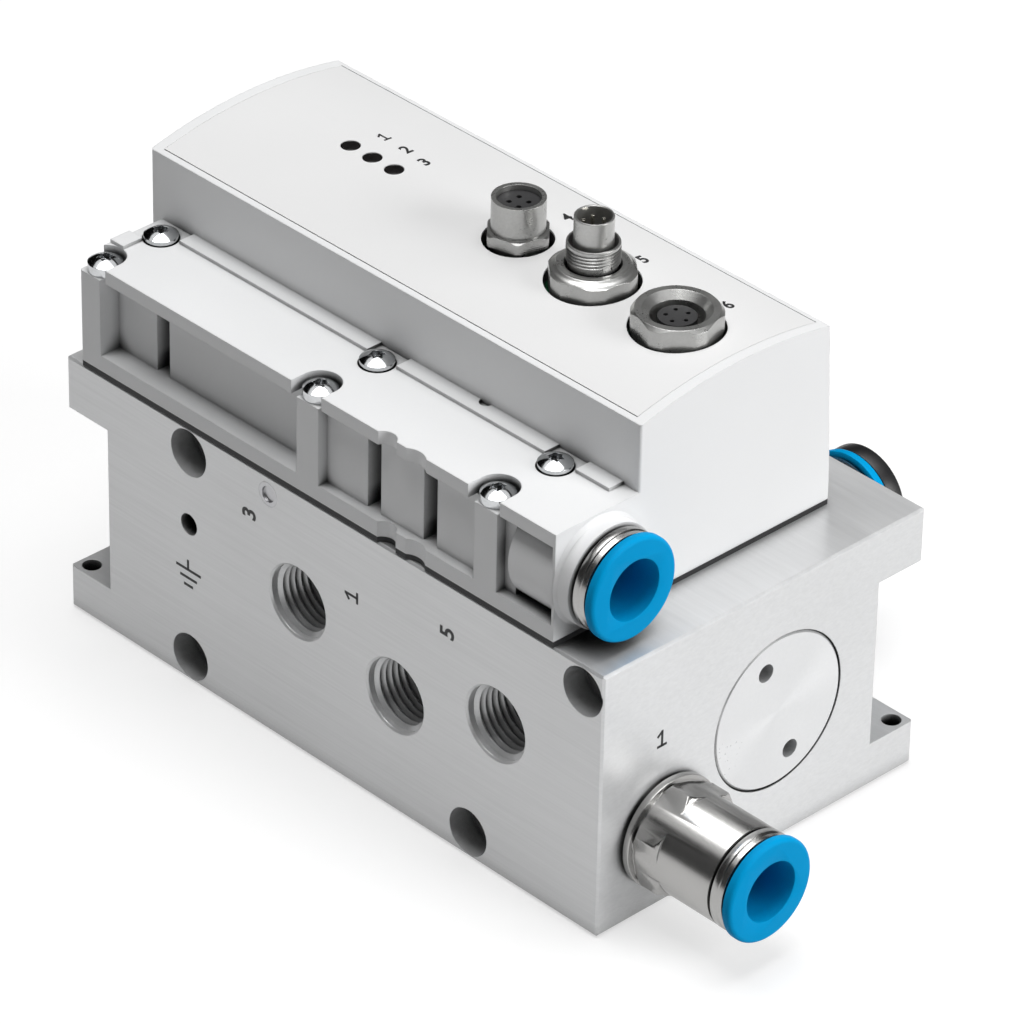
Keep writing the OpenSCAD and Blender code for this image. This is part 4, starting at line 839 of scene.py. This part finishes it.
class VALVE_OT_marks(bpy.types.Operator):
    """Port numbers, the earth mark and the plain numerals on the roof"""
    bl_idname = "valve.marks"
    bl_label = "Marks"

    def execute(self, context):
        height = settings().mark_height
        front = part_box("block")[0][1] / MM
        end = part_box("block")[1][0] / MM
        for text, x, z in PORT_MARKS:
            self.number(f"port_number_{text}", text, height, (x, front, z), FRONT, turn=90)
        text, y, z = END_MARK
        self.number("end_port_number", text, height, (end, y, z), RIGHT, turn=0)
        self.earth_mark(front)
        for text, x, y in ROOF_MARKS:
            z, facing = on_roof(y)
            size = ROOF_MARK_SIZE * height
            self.number(f"roof_number_{text}", text, size, (x, y, z), facing, turn=90)
        return {"FINISHED"}

    def earth_mark(self, front):
        """Three bars, each shorter than the one above it, with a stem on top."""
        bars = []
        for left, right, z in EARTH_BARS:
            bars.append(bar("earth_bar", (left, front - LIFT, z - EARTH_HALF),
                            (right, front + LIFT, z + EARTH_HALF)))
        left, right, foot, top = EARTH_STEM
        bars.append(bar("earth_stem", (left, front - LIFT, foot), (right, front + LIFT, top)))
        hand_over(joined("earth_mark", *bars), "valve", "black_plastic", FINISHES["ink"])

    def number(self, name, text, height, place, facing, turn):
        """A printed number standing a hair off the face at a place in mm."""
        if text == "1":
            mark = footed_one(name, height / MM)
        else:
            mark = figure(name, text, height)
        upwards = abs(facing.z) > 0.9
        side = RIGHT if upwards else UP.cross(facing).normalized()
        upright = facing.cross(side)
        basis = Matrix((side, upright, facing)).transposed().to_4x4()
        mark.matrix_world = (Matrix.Translation(Vector(place) * MM) @ basis
                             @ Matrix.Rotation(math.radians(turn), 4, "Z"))
        only(mark)
        bpy.ops.object.transform_apply(location=True, rotation=True, scale=True)
        close_up(mark)
        hand_over(mark, "valve", "black_plastic", FINISHES["ink"])


def figure(name, text, height):
    """A figure in the built-in font, centred on the origin and facing up, height in metres."""
    only()
    bpy.ops.object.text_add(location=(0, 0, 0))
    mark = bpy.context.object
    mark.name = name
    mark.data.body = text
    mark.data.size = height / FIGURE_SHARE
    mark.data.align_x = "CENTER"
    mark.data.align_y = "CENTER"
    mark.data.offset = FIGURE_WEIGHT * height
    mark.data.extrude = LIFT * MM
    bpy.ops.object.convert(target="MESH")
    return bpy.context.object


def footed_one(name, height):
    """A figure 1 with a flag and a foot, centred on the origin and facing up, height in mm."""
    top, stroke, slope = height / 2, 0.15 * height, 38
    half_foot, flag_length = 0.34 * height, 0.42 * height
    stem = bar("stem", (-stroke / 2, -top, -LIFT), (stroke / 2, top, LIFT))
    foot = bar("foot", (-half_foot, -top, -LIFT), (half_foot, stroke - top, LIFT))
    flag = bar("flag", (-flag_length, -stroke / 2, -LIFT), (0, stroke / 2, LIFT))
    put(flag, (0, top - stroke / 2, 0), turn=slope)
    return joined(name, stem, foot, flag)


def on_roof(y):
    """Height of the arched roof sheet at y (mm) and the direction that it faces there."""
    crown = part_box("roof_sheet")[1][2] / MM
    half = ROOF_ARC["crown_y"] - ROOF_ARC["front_y"]
    rise = crown - ROOF_ARC["front_height"]
    radius = (half * half + rise * rise) / (2 * rise)
    off = y - ROOF_ARC["crown_y"]
    up = math.sqrt(radius * radius - off * off)
    return crown - radius + up, Vector((0, off, up)).normalized()


STEPS = [VALVE_OT_stage, VALVE_OT_inner_parts, VALVE_OT_block, VALVE_OT_port_threads,
         VALVE_OT_cover, VALVE_OT_screws, VALVE_OT_connectors, VALVE_OT_fittings, VALVE_OT_marks]


class VALVE_PT_panel(bpy.types.Panel):
    """The valve's steps and settings"""
    bl_idname = "VALVE_PT_panel"
    bl_label = "Valve"
    bl_space_type = "VIEW_3D"
    bl_region_type = "UI"
    bl_category = "Valve"

    def draw(self, context):
        for name in ValveSettings.__annotations__:
            self.layout.prop(context.scene.valve_settings, name)
        for step in STEPS:
            self.layout.operator(step.bl_idname)


def register():
    for cls in [ValveSettings, *STEPS, VALVE_PT_panel]:
        bpy.utils.register_class(cls)
    bpy.types.Scene.valve_settings = bpy.props.PointerProperty(type=ValveSettings)


def unregister():
    del bpy.types.Scene.valve_settings
    for cls in reversed([ValveSettings, *STEPS, VALVE_PT_panel]):
        bpy.utils.unregister_class(cls)


def main():
    register()
    bpy.context.scene.view_settings.view_transform = "Standard"
    FINISHES.update(make_finishes())
    for step in STEPS:
        getattr(bpy.ops.valve, step.bl_idname.split(".")[1])()


if __name__ == "__main__":
    main()
